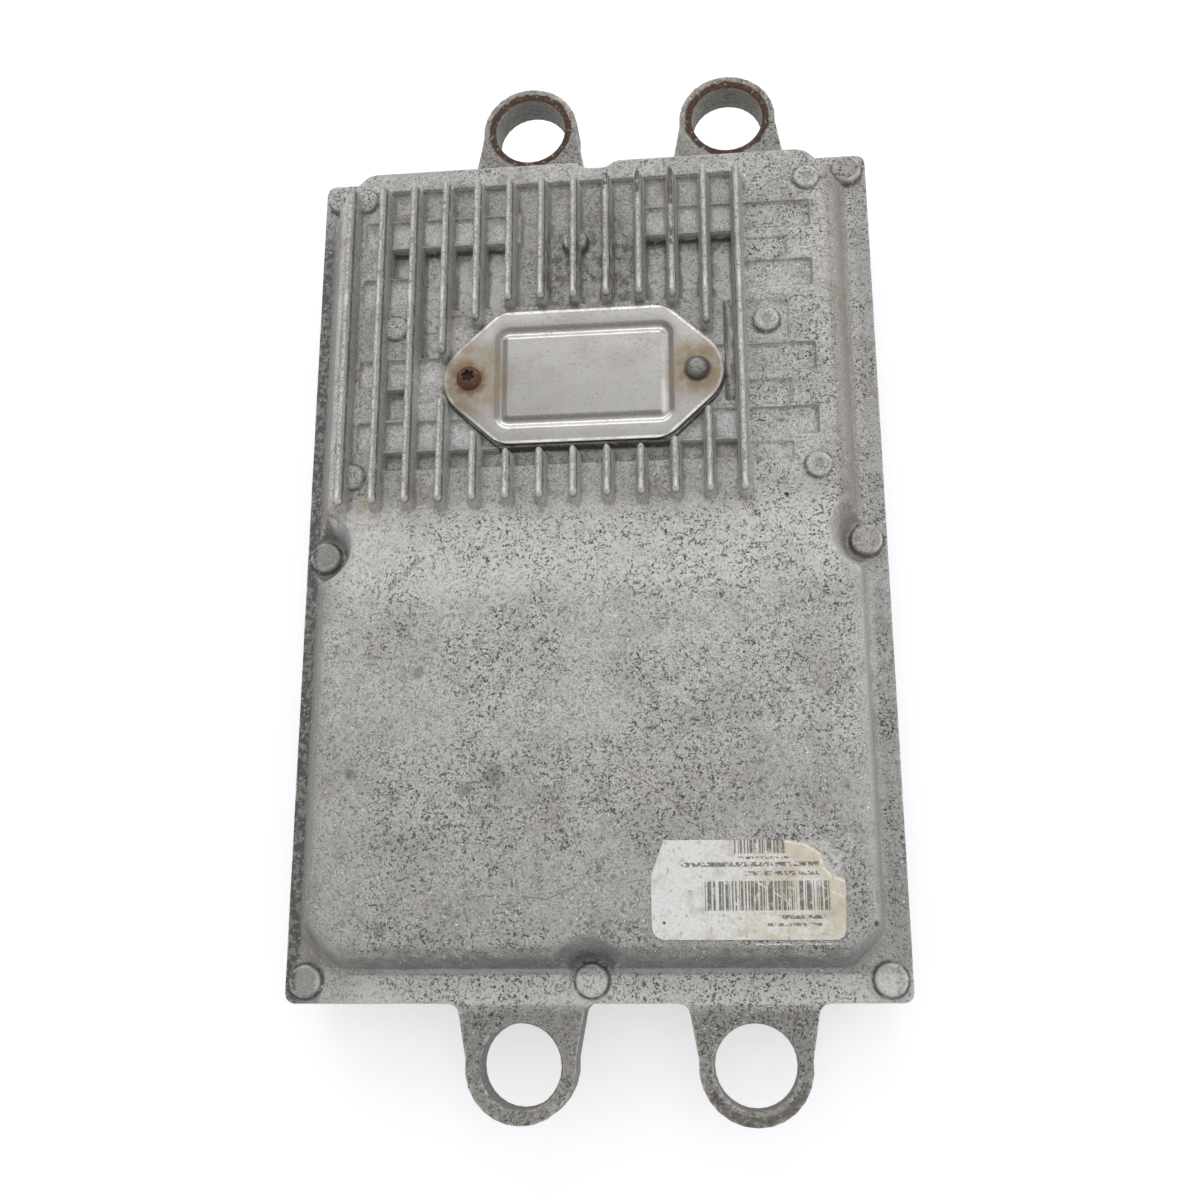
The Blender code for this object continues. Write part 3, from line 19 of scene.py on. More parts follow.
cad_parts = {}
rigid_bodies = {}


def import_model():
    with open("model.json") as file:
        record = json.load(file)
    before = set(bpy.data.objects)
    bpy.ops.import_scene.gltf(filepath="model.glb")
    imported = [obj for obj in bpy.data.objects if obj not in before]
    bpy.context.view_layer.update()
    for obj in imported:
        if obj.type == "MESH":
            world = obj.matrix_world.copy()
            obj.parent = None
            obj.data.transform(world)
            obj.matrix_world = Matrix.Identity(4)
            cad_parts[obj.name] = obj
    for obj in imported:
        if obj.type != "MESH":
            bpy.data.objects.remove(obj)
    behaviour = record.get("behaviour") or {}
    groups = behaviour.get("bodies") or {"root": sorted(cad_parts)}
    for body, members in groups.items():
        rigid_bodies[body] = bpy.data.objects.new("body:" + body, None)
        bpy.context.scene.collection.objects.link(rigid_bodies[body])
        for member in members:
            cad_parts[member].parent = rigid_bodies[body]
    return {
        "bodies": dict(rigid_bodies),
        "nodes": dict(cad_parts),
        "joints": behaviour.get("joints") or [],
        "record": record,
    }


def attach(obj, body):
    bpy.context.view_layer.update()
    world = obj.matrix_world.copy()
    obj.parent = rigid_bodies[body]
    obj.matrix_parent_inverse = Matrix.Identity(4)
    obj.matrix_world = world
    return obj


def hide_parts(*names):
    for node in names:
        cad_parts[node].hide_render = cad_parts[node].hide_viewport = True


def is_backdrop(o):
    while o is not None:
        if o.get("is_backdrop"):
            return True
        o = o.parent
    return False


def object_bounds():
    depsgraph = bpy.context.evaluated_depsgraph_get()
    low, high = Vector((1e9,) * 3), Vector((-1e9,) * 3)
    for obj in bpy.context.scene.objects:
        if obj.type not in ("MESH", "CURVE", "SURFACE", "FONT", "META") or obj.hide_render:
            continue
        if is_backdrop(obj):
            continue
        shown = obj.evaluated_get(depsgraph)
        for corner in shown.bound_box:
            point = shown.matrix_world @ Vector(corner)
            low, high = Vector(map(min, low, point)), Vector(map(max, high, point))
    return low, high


logger = logging.getLogger("control_module")
MM = 0.001
ROOT = "root"
WHITE = (1.0, 1.0, 1.0, 1.0)
SHARP_DEGREES = 40

Pair = tuple[float, float]
Triple = tuple[float, float, float]
Four = tuple[float, float, float, float]
Socket = bpy.types.NodeSocket

# The access cover in the plan: its middle, half its length to the unrounded tips and half its
# width, how far the tips' axes lie out and the tips' radius, and the slope of its short sides.
COVER_CENTRE = (-0.00085, 0.0496)
COVER_OUTLINE = (0.0467, 0.0207)
COVER_TIP = (0.02825, 0.0125)
COVER_SLOPE = math.radians(42.7)
COVER_SCREWS = ((-0.03405, 0.0496), (0.03235, 0.0496))
COVER_SCREW_SEAT = 0.0464


def linear(code: str) -> Four:
    """Turns an sRGB hex colour to linear light.

    Args:
        code: colour as #rrggbb.

    Returns:
        Red, green, blue and an alpha of 1.
    """
    levels = [int(code[start:start + 2], 16) / 255 for start in (1, 3, 5)]
    light = [v / 12.92 if v <= 0.04045 else ((v + 0.055) / 1.055) ** 2.4 for v in levels]
    return light[0], light[1], light[2], 1.0


def add_node(tree: bpy.types.NodeTree, kind: str, inputs: dict | None = None,
             **settings: object) -> bpy.types.Node:
    """Adds a node with its settings and links.

    Args:
        tree: the node tree.
        kind: Blender's name of the node's type.
        inputs: value or source socket of each input, by name or number.
        settings: the node's own properties.

    Returns:
        The new node.
    """
    made = tree.nodes.new(kind)
    for key, value in settings.items():
        setattr(made, key, value)
    for key, value in (inputs or {}).items():
        if isinstance(value, Socket):
            tree.links.new(value, made.inputs[key])
        else:
            made.inputs[key].default_value = value
    return made


class Recipe:
    """The node tree of one material and the object coordinates that its patterns read."""

    def __init__(self, name: str) -> None:
        """Starts an empty material.

        Args:
            name: the material's name.
        """
        self.material = bpy.data.materials.new(name)
        self.material.use_nodes = True
        self.tree = self.material.node_tree
        self.tree.nodes.clear()
        self.shader = self.add("ShaderNodeBsdfPrincipled")
        self.add("ShaderNodeOutputMaterial", {"Surface": self.shader.outputs[0]})
        self.place = self.add("ShaderNodeTexCoord").outputs["Object"]
        split = self.add("ShaderNodeSeparateXYZ", {0: self.place})
        self.x, self.y, self.z = split.outputs
        self.normal = self.add("ShaderNodeNewGeometry").outputs["Normal"]
        split = self.add("ShaderNodeSeparateXYZ", {0: self.normal})
        self.sway, self.lean, self.tilt = split.outputs

    def add(self, kind: str, inputs: dict | None = None, **settings: object) -> bpy.types.Node:
        """Adds a node to this material, as add_node does."""
        return add_node(self.tree, kind, inputs, **settings)

    def within(self, value: Socket, low: float, high: float) -> Socket:
        """Rises softly from 0 at one value to 1 at the other.

        Args:
            value: the socket that is read.
            low: where the mask is 0, which may be above the other.
            high: where the mask is 1.

        Returns:
            The mask.
        """
        inputs = {"Value": value, "From Min": min(low, high), "From Max": max(low, high)}
        inputs["To Min"] = 0.0 if low < high else 1.0
        inputs["To Max"] = 1.0 - inputs["To Min"]
        ramp = self.add("ShaderNodeMapRange", inputs, interpolation_type="SMOOTHSTEP")
        return ramp.outputs[0]

    def band(self, value: Socket, *ends: float) -> Socket:
        """Covers a stretch of a value, softly at both ends.

        Args:
            value: the socket that is read.
            ends: rising, where the mask starts, is full, is full for the last time and ends.

        Returns:
            The mask.
        """
        return self.both(self.within(value, ends[0], ends[1]), self.within(value, ends[3], ends[2]))

    def both(self, *masks: Socket | float) -> Socket:
        """Multiplies masks, so that only what all of them cover is left.

        Args:
            masks: sockets or plain shares.

        Returns:
            The common mask.
        """
        result = masks[0]
        for mask in masks[1:]:
            step = self.add("ShaderNodeMath", {0: result, 1: mask}, operation="MULTIPLY")
            result = step.outputs[0]
        return result

    def either(self, *masks: Socket) -> Socket:
        """Takes the stronger of masks at each point.

        Args:
            masks: sockets.

        Returns:
            The joined mask.
        """
        result = masks[0]
        for mask in masks[1:]:
            step = self.add("ShaderNodeMath", {0: result, 1: mask}, operation="MAXIMUM")
            result = step.outputs[0]
        return result

    def region(self, x: Pair, y: Pair, soft: float
               ) -> Socket:
        """Covers a rectangle of the plan with soft edges.

        Args:
            x: its two ends across, in metres.
            y: its two ends along, in metres.
            soft: width of the edges.

        Returns:
            The mask.
        """
        return self.both(*[
            self.band(value, low - soft, low + soft, high - soft, high + soft)
            for value, (low, high) in ((self.x, x), (self.y, y))
        ])

    def patches(self, millimetres: float, low: float, high: float, shift: float = 0.0,
                detail: float = 3.0) -> Socket:
        """Scatters irregular patches of a real size.

        Args:
            millimetres: distance from one patch to the next.
            low: noise level where a patch begins.
            high: noise level where it is full.
            shift: moves the pattern, so that two of them don't coincide.
            detail: octaves of finer outline.

        Returns:
            The mask.
        """
        moved = self.add("ShaderNodeMapping", {"Vector": self.place,
                                               "Location": (shift, shift * 0.7, shift)})
        noise = self.add("ShaderNodeTexNoise", {
            "Vector": moved.outputs[0],
            "Scale": 1 / (millimetres * MM),
            "Detail": detail,
            "Roughness": 0.6,
        })
        return self.within(noise.outputs[0], low, high)

    def distance(self, centre: Pair, mirrored: float = 0.0) -> Socket:
        """Measures how far each point lies from an upright axis in the plan.

        Args:
            centre: the axis, or the middle between two axes.
            mirrored: half the distance between two axes beside each other.

        Returns:
            The distance in metres.
        """
        across = self.add("ShaderNodeMath", {0: self.x, 1: centre[0]}, operation="SUBTRACT")
        if mirrored:
            folded = self.add("ShaderNodeMath", {0: across.outputs[0]}, operation="ABSOLUTE")
            across = self.add("ShaderNodeMath", {0: folded.outputs[0], 1: mirrored},
                              operation="SUBTRACT")
        along = self.add("ShaderNodeMath", {0: self.y, 1: centre[1]}, operation="SUBTRACT")
        joined = self.add("ShaderNodeCombineXYZ", {0: across.outputs[0], 1: along.outputs[0]})
        length = self.add("ShaderNodeVectorMath", {0: joined.outputs[0]}, operation="LENGTH")
        return length.outputs["Value"]

    def stroke(self, points: Sequence[Pair], width: float) -> Socket:
        """Draws a thin mark from point to point of the plan.

        Args:
            points: its corners.
            width: half its width.

        Returns:
            The mask.
        """
        parts = []
        for start, end in zip(points, points[1:]):
            run = Vector(end) - Vector(start)
            along = run.normalized()
            origin = self.add("ShaderNodeVectorMath", {0: self.place, 1: (*start, 0.0)},
                              operation="SUBTRACT").outputs[0]
            far = self.add("ShaderNodeVectorMath", {0: origin, 1: (along.x, along.y, 0.0)},
                           operation="DOT_PRODUCT").outputs["Value"]
            aside = self.add("ShaderNodeVectorMath", {0: origin, 1: (-along.y, along.x, 0.0)},
                             operation="DOT_PRODUCT").outputs["Value"]
            off = self.add("ShaderNodeMath", {0: aside}, operation="ABSOLUTE").outputs[0]
            parts.append(self.both(self.within(far, -width, 0.0), self.within(off, width, 0.0),
                                   self.within(far, run.length + width, run.length)))
        return self.either(*parts)

    def dots(self, spots: Sequence[Triple]) -> Socket:
        """Covers soft round spots of the plan.

        Args:
            spots: middle and radius of each.

        Returns:
            The mask.
        """
        return self.either(*[self.within(self.distance((x, y)), radius, radius * 0.3)
                             for x, y, radius in spots])

    def rings(self, centres: Sequence[Pair], radius: float, width: float
              ) -> Socket:
        """Covers a soft ring just outside each of several upright round bosses.

        Args:
            centres: their axes in the plan.
            radius: their radius.
            width: how far the ring reaches outward.

        Returns:
            The mask.
        """
        nearest = self.distance(centres[0])
        for centre in centres[1:]:
            nearest = self.add("ShaderNodeMath", {0: nearest, 1: self.distance(centre)},
                               operation="MINIMUM").outputs[0]
        return self.band(nearest, radius - 0.0004, radius, radius + width * 0.4, radius + width)

    def hexagon(self, centre: Pair, size: Pair,
                tip: Pair) -> Socket:
        """Measures how far each point lies outside a long six-sided plate with round tips.

        Args:
            centre: its middle.
            size: half its length from tip to tip before rounding, and half its width.
            tip: how far the tips' axes lie from the middle, and the tips' radius.

        Returns:
            The distance in metres, negative inside.
        """
        folded = []
        for value, middle in ((self.x, centre[0]), (self.y, centre[1])):
            shifted = self.add("ShaderNodeMath", {0: value, 1: middle}, operation="SUBTRACT")
            folded.append(self.add("ShaderNodeMath", {0: shifted.outputs[0]},
                                   operation="ABSOLUTE").outputs[0])
        slope = COVER_SLOPE
        straight = self.add("ShaderNodeMath", {0: folded[1], 1: size[1]}, operation="SUBTRACT")
        lean = self.add("ShaderNodeMath", {0: folded[1], 1: math.cos(slope), 2:
                                           -size[0] * math.sin(slope)}, operation="MULTIPLY_ADD")
        slanted = self.add("ShaderNodeMath", {0: folded[0], 1: math.sin(slope),
                                              2: lean.outputs[0]}, operation="MULTIPLY_ADD")
        sides = self.add("ShaderNodeMath", {0: straight.outputs[0], 1: slanted.outputs[0]},
                         operation="MAXIMUM").outputs[0]
        ends = self.add("ShaderNodeMath", {0: self.distance(centre, tip[0]), 1: tip[1]},
                        operation="SUBTRACT").outputs[0]
        turn = tip[0] + tip[1] * math.sin(slope)
        return self.levels(ends, [(self.within(folded[0], turn + MM / 5, turn - MM / 5), sides)])

    def paint(self, base: str | Socket, *layers: tuple) -> Socket:
        """Lays colours over each other.

        Args:
            base: hex colour of the ground, or the colour so far.
            layers: hex colour of each layer from the lowest up, and the masks and shares whose
                product is its strength.

        Returns:
            The colour.
        """
        below: object = linear(base) if isinstance(base, str) else base
        for code, *masks in layers:
            mixed = self.add("ShaderNodeMix", {"Factor": self.both(*masks), 6: below,
                                               7: linear(code)}, data_type="RGBA")
            below = mixed.outputs[2]
        return below

    def levels(self, base: float, layers: Sequence[tuple[object, float]]) -> Socket:
        """Lays single values over each other, as paint does colours.

        Args:
            base: value of the ground.
            layers: mask and value of each layer.

        Returns:
            The value.
        """
        below: object = base
        for mask, level in layers:
            mixed = self.add("ShaderNodeMix", {"Factor": mask, 2: below, 3: level},
                             data_type="FLOAT")
            below = mixed.outputs[0]
        return below

    def dress(self, **sockets: object) -> None:
        """Sets the shader's sockets.

        Args:
            sockets: value or source of each socket, its name with low lines for spaces.
        """
        for key, value in sockets.items():
            socket = self.shader.inputs[key.replace("_", " ")]
            if isinstance(value, Socket):
                self.tree.links.new(value, socket)
            else:
                socket.default_value = value

    def relief(self, heights: Sequence[tuple[object, float]]) -> None:
        """Gives the surface its small heights.

        Args:
            heights: mask and height in metres of each, from the coarsest to the finest.
        """
        normal = None
        for mask, height in heights:
            inputs = {"Height": mask, "Distance": height, "Strength": 1.0}
            if normal is not None:
                inputs["Normal"] = normal
            normal = self.add("ShaderNodeBump", inputs).outputs[0]
        self.tree.links.new(normal, self.shader.inputs["Normal"])


@dataclass(frozen=True)
class WeatheredCasting:
    """Die-cast aluminium, years in an engine bay: chalky oxide with dark pits and worn edges.

    Places and heights are in metres. A pair of heights says where a mask starts and is full. Each
    row of soot is a crest's ends across and along, the softness of its edges and its pattern.
    """

    name: str = "weathered_cast_aluminium"
    oxide: str = "#bfbebb"
    pits: str = "#3b3a39"
    grains: str = "#e4e3e0"
    bare: str = "#e2e0db"
    rust: str = "#432f26"
    finned: tuple[Pair, Pair] = ((-0.0760, 0.0470), (0.0080, 0.1180))
    crests: Pair = (0.0495, 0.0508)
    floor: Pair = (0.0452, 0.0434)
    deep_floor: Pair = (0.0412, 0.0392)
    strips: Four = (0.0416, 0.0419, 0.0427, 0.0430)
    ear_tops: Pair = (0.0292, 0.0298)
    bore_centre: Pair = (0.01185, 0.1418)
    bore_half_pitch: float = 0.03125
    bore_radius: float = 0.01095
    rust_wander: float = 0.0022
    front_bores: Pair = (-0.0194, 0.0431)
    bosses: tuple[Pair, ...] = (
        (-0.0790, -0.1198), (0.0790, -0.1198), (0.0790, 0.1198), (-0.0790, 0.1198),
        (-0.0790, 0.0009), (0.0790, 0.0009), (0.0, -0.1198))
    floor_bosses: tuple[Pair, ...] = (
        (0.0659, 0.1108), (0.0658, 0.0199), (0.0526, 0.0652), (-0.0679, 0.1112),
        (-0.0686, 0.0214), (-0.0570, 0.0679), (-0.0033, 0.0940))
    smudges: tuple[Triple, ...] = (
        (-0.0256, -0.0658, 0.0040), (-0.0332, -0.0697, 0.0030), (-0.0472, -0.0368, 0.0026),
        (-0.0653, -0.0651, 0.0022), (-0.0556, -0.1065, 0.0028))
    soot: tuple[tuple[Pair, Pair, float, Four], ...] = (
        ((0.0244, 0.0272), (0.1000, 0.1135), 0.0006, (2.0, 0.26, 0.36, 0.33)),
        ((0.0244, 0.0272), (0.0860, 0.1000), 0.0006, (1.6, 0.52, 0.58, 0.33)),
        ((0.0146, 0.0178), (0.1045, 0.1125), 0.0006, (2.0, 0.42, 0.50, 0.35)),
        ((0.0050, 0.0090), (0.1060, 0.1125), 0.0006, (2.0, 0.46, 0.54, 0.39)),
        ((0.0330, 0.0346), (0.0860, 0.1130), 0.0003, (2.4, 0.40, 0.52, 0.41)),
        ((0.0425, 0.0441), (0.0780, 0.1130), 0.0003, (2.4, 0.38, 0.50, 0.45)))

    def build(self) -> bpy.types.Material:
        """Builds the material and returns it."""
        return CastingCoat(self).build()


class CastingCoat:
    """The casting's finish as it is laid: masks of the housing's parts and the colour so far."""

    def __init__(self, look: WeatheredCasting) -> None:
        """Starts the finish and marks the parts that several layers share.

        Args:
            look: its colours and places.
        """
        self.look = look
        self.r = r = Recipe(look.name)
        self.colour: str | Socket = look.oxide
        self.level = r.within(r.tilt, 0.70, 0.93)
        self.walls = r.within(r.tilt, 0.75, 0.35)
        self.finned = r.region(*look.finned, 0.0015)
        self.crown = r.both(r.within(r.z, *look.crests), self.finned)
        self.valley = r.both(self.finned, r.within(r.z, *look.floor))
        self.deep = r.both(self.finned, r.within(r.z, *look.deep_floor))
        self.strips = r.both(self.finned, r.band(r.z, *look.strips))
        self.left_wall = r.both(r.within(r.x, -0.0745, -0.0765), r.within(r.y, 0.118, 0.100),
                                r.within(r.z, 0.0440, 0.0430))
        self.side_band = r.both(r.within(r.x, 0.0700, 0.0720), r.within(r.z, 0.0300, 0.0306),
                                r.within(r.y, -0.02, 0.02))
        self.cluster = r.patches(5.0, 0.40, 0.60)
        self.edge = r.add("ShaderNodeAttribute", attribute_name="edge").outputs["Fac"]
        self.hollow = r.add("ShaderNodeAttribute", attribute_name="hollow").outputs["Fac"]
        self.worn = r.both(r.within(self.edge, 0.20, 0.85), r.patches(1.6, 0.36, 0.60, 0.21))

    def lay(self, *layers: tuple) -> None:
        """Lays more colours over the colour so far, each as Recipe.paint takes it."""
        self.colour = self.r.paint(self.colour, *layers)

    def lay_ground(self) -> None:
        """Lays the oxide, with the broad differences from part to part, painted shade on the steep
        walls and a painted darkening towards the front of the plateau.
        """
        r = self.r
        brown = r.both(r.patches(10.0, 0.54, 0.72, 0.93),
                       r.levels(0.36, [(self.valley, 0.7), (self.side_band, 0.9)]))
        self.lay(
            ("#d2d0cd", self.finned, 0.70),
            ("#9b9893", r.patches(17.0, 0.44, 0.66, 0.71), 0.40),
            # Painted shade: steep walls darker, the front wall and the left wall most.
            ("#8f9092", self.walls, r.levels(0.35, [(self.finned, 0.12)])),
            ("#77797c", self.walls, r.within(r.y, -0.1110, -0.1130), 0.40),
            ("#797876", self.left_wall, 0.65),
            ("#98948d", self.valley, 0.20),
            ("#dcdcdc", self.strips, 0.70),
            ("#8b7d6c", brown, 0.75),
            ("#7f7d7a", r.patches(0.40, 0.46, 0.66, 0.37, 1.0), 0.68),
            ("#7f7d79", r.patches(6.0, 0.60, 0.72, 0.61, 2.0), 0.45),
            ("#84827e", r.patches(4.5, 0.52, 0.66), 0.22),
            # Painted shade: the plateau darker towards the front.
            ("#85827d", r.band(r.y, -0.1190, -0.1150, -0.1100, -0.0300), 0.32),
        )

    def lay_areas(self) -> None:
        """Lays the paler and darker areas of the rims and ears, smudges on the plateau, a painted
        pool of light on the plateau's rear, painted shade on the right rim and painted light on the
        deep pockets' floors.
        """
        r = self.r
        lower_rim = r.both(r.band(r.y, -0.1265, -0.1255, -0.1190, -0.1175),
                           r.within(r.x, -0.0700, -0.0600), self.level)
        ears = r.either(r.within(r.y, 0.1255, 0.1290), r.within(r.y, -0.1255, -0.1290))
        rubbed = r.both(r.stroke(((-0.0560, -0.0121), (-0.0474, -0.0038)), 0.0015),
                        r.patches(0.9, 0.36, 0.54, 0.85))
        self.lay(
            # Painted light: a paler pool on the rear of the plateau.
            ("#d2d0cc", r.region((-0.0700, 0.0700), (-0.0150, 0.0100), 0.0060), 0.50),
            ("#d3d0cb", lower_rim, 0.75),
            # Painted shade: the right rim darker.
            ("#8d8a86", r.within(r.x, 0.0795, 0.0812), self.level, 0.40),
            ("#88857f", ears, 0.80),
            ("#5b5752", ears, r.patches(1.1, 0.51, 0.60, 0.87), 0.40),
            ("#b9a98e", r.dots(((-0.0641, 0.0120, 0.0042),)), r.patches(2.4, 0.34, 0.56, 0.89),
             0.65),
            ("#6a6863", r.either(r.dots(self.look.smudges), rubbed), 0.58),
            # Painted light: the shaded floors of the deep pockets made paler.
            ("#e6e4e0", self.deep, 0.75),
        )

    def lay_grime(self) -> None:
        """Lays grime on the front slope, behind the cover, on the left rim and on the right."""
        r = self.r
        slope = r.both(r.band(r.y, -0.1188, -0.1176, -0.1120, -0.1108),
                       r.band(r.x, -0.068, -0.060, 0.066, 0.072),
                       r.levels(0.35, [(r.patches(4.0, 0.42, 0.60, 0.81), 1.0)]))
        slope_foot = r.both(r.band(r.y, -0.1184, -0.1178, -0.1170, -0.1165),
                            r.band(r.x, -0.062, -0.054, 0.064, 0.070))
        greasy = r.both(r.region((-0.0130, 0.0160), (0.0720, 0.0980), 0.0040),
                        r.patches(3.2, 0.44, 0.62, 0.57), r.levels(1.0, [(self.crown, 0.35)]))
        left_rim = r.both(r.within(r.x, -0.0805, -0.0820), r.within(r.y, 0.118, 0.100))
        self.lay(
            ("#5f5e5d", slope, 0.45),
            ("#b6bac0", slope_foot, 0.55),
            ("#5a5651", greasy, 0.70),
            ("#6f6c68", left_rim, 0.40),
            ("#3b3936", left_rim, r.patches(1.5, 0.40, 0.56, 0.47), 0.75),
            ("#857b6e", self.side_band, 0.45),
        )

    def lay_pits(self) -> Socket:
        """Lays the corrosion pits, which are densest on level ground.

        Returns:
            Mask of the pits.
        """
        r = self.r
        swarm = r.levels(0.30, [(r.patches(1.9, 0.42, 0.60, 0.17), 1.0)])
        small = r.both(r.patches(0.62, 0.525, 0.595, 0.11, 2.0), swarm)
        large = r.both(r.patches(1.15, 0.565, 0.625, 0.29), self.cluster)
        sparse_left = r.both(r.within(r.x, -0.0540, -0.0660), r.within(r.y, 0.006, 0.0), 0.6)
        calm = r.levels(1.0, [(r.patches(26.0, 0.46, 0.62, 0.27, 1.0), 0.55),
                              (sparse_left, 0.45)])
        right_band = r.both(r.band(r.x, 0.0722, 0.0740, 0.0790, 0.0800),
                            r.within(r.y, -0.005, -0.015))
        clear = r.either(self.left_wall, r.both(right_band, 0.7))
        marks = r.both(r.either(small, large), calm, r.levels(0.45, [
            (self.level, 1.0),
            (clear, 0.25),
            (r.both(self.valley, self.level), 0.60),
            (self.strips, 0.35),
        ]))
        litter = r.both(self.valley, r.patches(1.0, 0.52, 0.60, 0.31), r.patches(7.0, 0.40, 0.60))
        self.lay(("#57534e", litter, r.levels(0.34, [(self.strips, 0.10)])),
                 (self.look.pits, marks, 0.92))
        return marks

    def lay_seam_dirt_and_painted_shade(self) -> None:
        """Lays painted shade round the bosses' feet, in the deep pockets and along the fins' upper
        flanks, and dirt along the cover's seam.
        """
        r, look = self.r, self.look
        # Painted shade round the feet of the flange bosses and the board bosses.
        crevices = r.both(r.rings(look.bosses, 0.0045, 0.0009), r.within(r.z, 0.0316, 0.0306),
                          r.patches(3.0, 0.30, 0.52, 0.63))
        feet = r.both(r.rings(look.floor_bosses, 0.0038, 0.0008), r.within(r.z, 0.0452, 0.0440),
                      r.patches(2.4, 0.34, 0.54, 0.65))
        seam = r.both(r.band(r.hexagon(COVER_CENTRE, COVER_OUTLINE, COVER_TIP),
                             -0.0002, 0.0001, 0.0004, 0.0009),
                      r.within(r.z, 0.0446, 0.0440), r.patches(2.5, 0.20, 0.45, 0.67))
        # Painted shade along the fins' upper flanks.
        outline = r.both(self.finned, self.walls, r.band(r.z, 0.0476, 0.0484, 0.0494, 0.0500),
                         r.patches(3.0, 0.24, 0.50, 0.51))
        self.lay(
            ("#35312d", crevices, 0.75),
            ("#3c3833", feet, 0.65),
            ("#272420", seam, 0.85),
            # Painted shadow in the deep pockets' hollows, strongest under their rear walls.
            ("#2a2623", r.within(self.hollow, 0.03, 0.25), self.deep,
             r.levels(0.40, [(r.within(r.lean, -0.05, -0.3), 0.85)])),
            ("#45423f", outline, 0.70),
        )

    def lay_scars(self) -> None:
        """Lays nicks, bright grains, scratches and what a label or a tool left behind."""
        r = self.r
        nicked = r.both(self.crown, r.patches(0.8, 0.54, 0.60, 0.49),
                        r.patches(3.5, 0.36, 0.56, 0.3))
        chafed = r.both(r.stroke(((0.0440, -0.1107), (0.0640, -0.1107)), 0.00030),
                        r.patches(1.6, 0.44, 0.54, 0.73))
        residue = r.both(r.region((0.0550, 0.0668), (-0.0945, -0.0845), 0.0006),
                         r.patches(2.5, 0.36, 0.50, 0.77))
        scratch = r.stroke(((0.0080, -0.0636), (0.0171, -0.0692), (0.0281, -0.0776)), 0.00022)
        scrape = r.stroke(((-0.0174, -0.0980), (-0.0109, -0.0990), (-0.0031, -0.0957)), 0.00022)
        self.lay(
            ("#5b5854", nicked, 0.70),
            (self.look.grains, r.patches(0.7, 0.60, 0.68, 0.53), self.cluster, 0.85),
            ("#efede8", chafed, 0.85),
            ("#6a655e", r.within(self.hollow, 0.10, 0.6), r.patches(2.5, 0.25, 0.60, 0.9), 0.38),
            ("#cbcbca", residue, 0.55),
            ("#75604e", scratch),
            ("#696b70", scrape),
            ("#2a2826", r.dots(((0.0565, 0.0115, 0.0009), (0.0750, -0.1056, 0.0010)))),
        )

    def lay_edges(self) -> None:
        """Lays bare metal on worn edges, and soot and bright ends on the fins."""
        r = self.r
        tips = r.both(self.crown, r.levels(0.25, [(r.patches(3.0, 0.42, 0.62, 0.43), 1.0)]))
        sooty = r.both(self.crown, r.either(*[
            r.both(r.region(across, along, soft), r.patches(*pattern))
            for across, along, soft, pattern in self.look.soot
        ]))
        fronts = r.both(r.within(self.edge, 0.15, 0.6), self.finned, r.within(r.z, 0.0482, 0.0496),
                        r.either(r.within(r.y, 0.0165, 0.0140),
                                 r.band(r.y, 0.0720, 0.0735, 0.0755, 0.0790)))
        self.lay(
            ("#d0cdc8", tips, 0.30),
            (self.look.bare, self.worn, r.levels(0.40, [(self.finned, 0.20)])),
            ("#3a3633", sooty, 0.80),
            ("#e4e2de", fronts, 0.60),
        )

    def lay_bores(self) -> Socket:
        """Lays dirt round the front bores and rust round the rear ones.

        Returns:
            Mask of the rust.
        """
        r, look = self.r, self.look
        on_ears = r.within(r.z, *look.ear_tops)
        right = r.distance((look.front_bores[1], -look.bore_centre[1]))
        dirt_arc = r.both(r.band(right, *[look.bore_radius * k for k in (1.10, 1.16, 1.30, 1.42)]),
                          r.within(r.y, -0.1440, -0.1500), on_ears,
                          r.patches(2.2, 0.36, 0.50, 0.19))
        left = r.distance((look.front_bores[0], -look.bore_centre[1]))
        stain = r.both(r.within(left, look.bore_radius + 0.0009, look.bore_radius),
                       r.within(r.x, look.front_bores[0], look.front_bores[0] + 0.006),
                       r.patches(3.0, 0.36, 0.50, 0.23))
        rings = r.distance(look.bore_centre, look.bore_half_pitch)
        wobble = r.add("ShaderNodeTexNoise", {"Vector": r.place, "Scale": 330.0, "Detail": 3.0})
        wander = r.add("ShaderNodeMath", {0: wobble.outputs[0], 1: look.rust_wander, 2: rings},
                       operation="MULTIPLY_ADD").outputs[0]
        rusted = r.both(r.within(wander, look.bore_radius * 1.33, look.bore_radius * 1.28),
                        on_ears, r.within(rings, 0.0108, 0.0111))
        self.lay(
            ("#4d453d", dirt_arc, 0.65),
            ("#6e5f50", stain, 0.70),
            (look.rust, rusted),
            ("#66523f", rusted, r.patches(1.7, 0.50, 0.62, 0.95), 0.45),
            ("#8d806c", rusted, r.patches(1.3, 0.59, 0.66, 0.15)),
        )
        return rusted

    def build(self) -> bpy.types.Material:
        """Lays every coat, then sets the gloss and the relief.

        Returns:
            The material.
        """
        r = self.r
        self.lay_ground()
        self.lay_areas()
        self.lay_grime()
        marks = self.lay_pits()
        self.lay_seam_dirt_and_painted_shade()
        self.lay_scars()
        self.lay_edges()
        rusted = self.lay_bores()
        r.dress(Base_Color=self.colour,
                Roughness=r.levels(0.64, [(marks, 0.85), (self.worn, 0.56),
                                          (r.both(self.valley, 0.7), 0.75), (rusted, 0.9)]),
                Metallic=r.levels(0.22, [(marks, 0.05), (self.worn, 0.30), (self.valley, 0.10),
                                         (rusted, 0.0)]))
        r.relief([(r.patches(6.0, 0.2, 0.8, 0.3, 2.0), 0.00012), (marks, -0.00010),
                  (r.patches(0.8, 0.2, 0.8, 0.6, 2.0), 0.00006)])
        return r.material


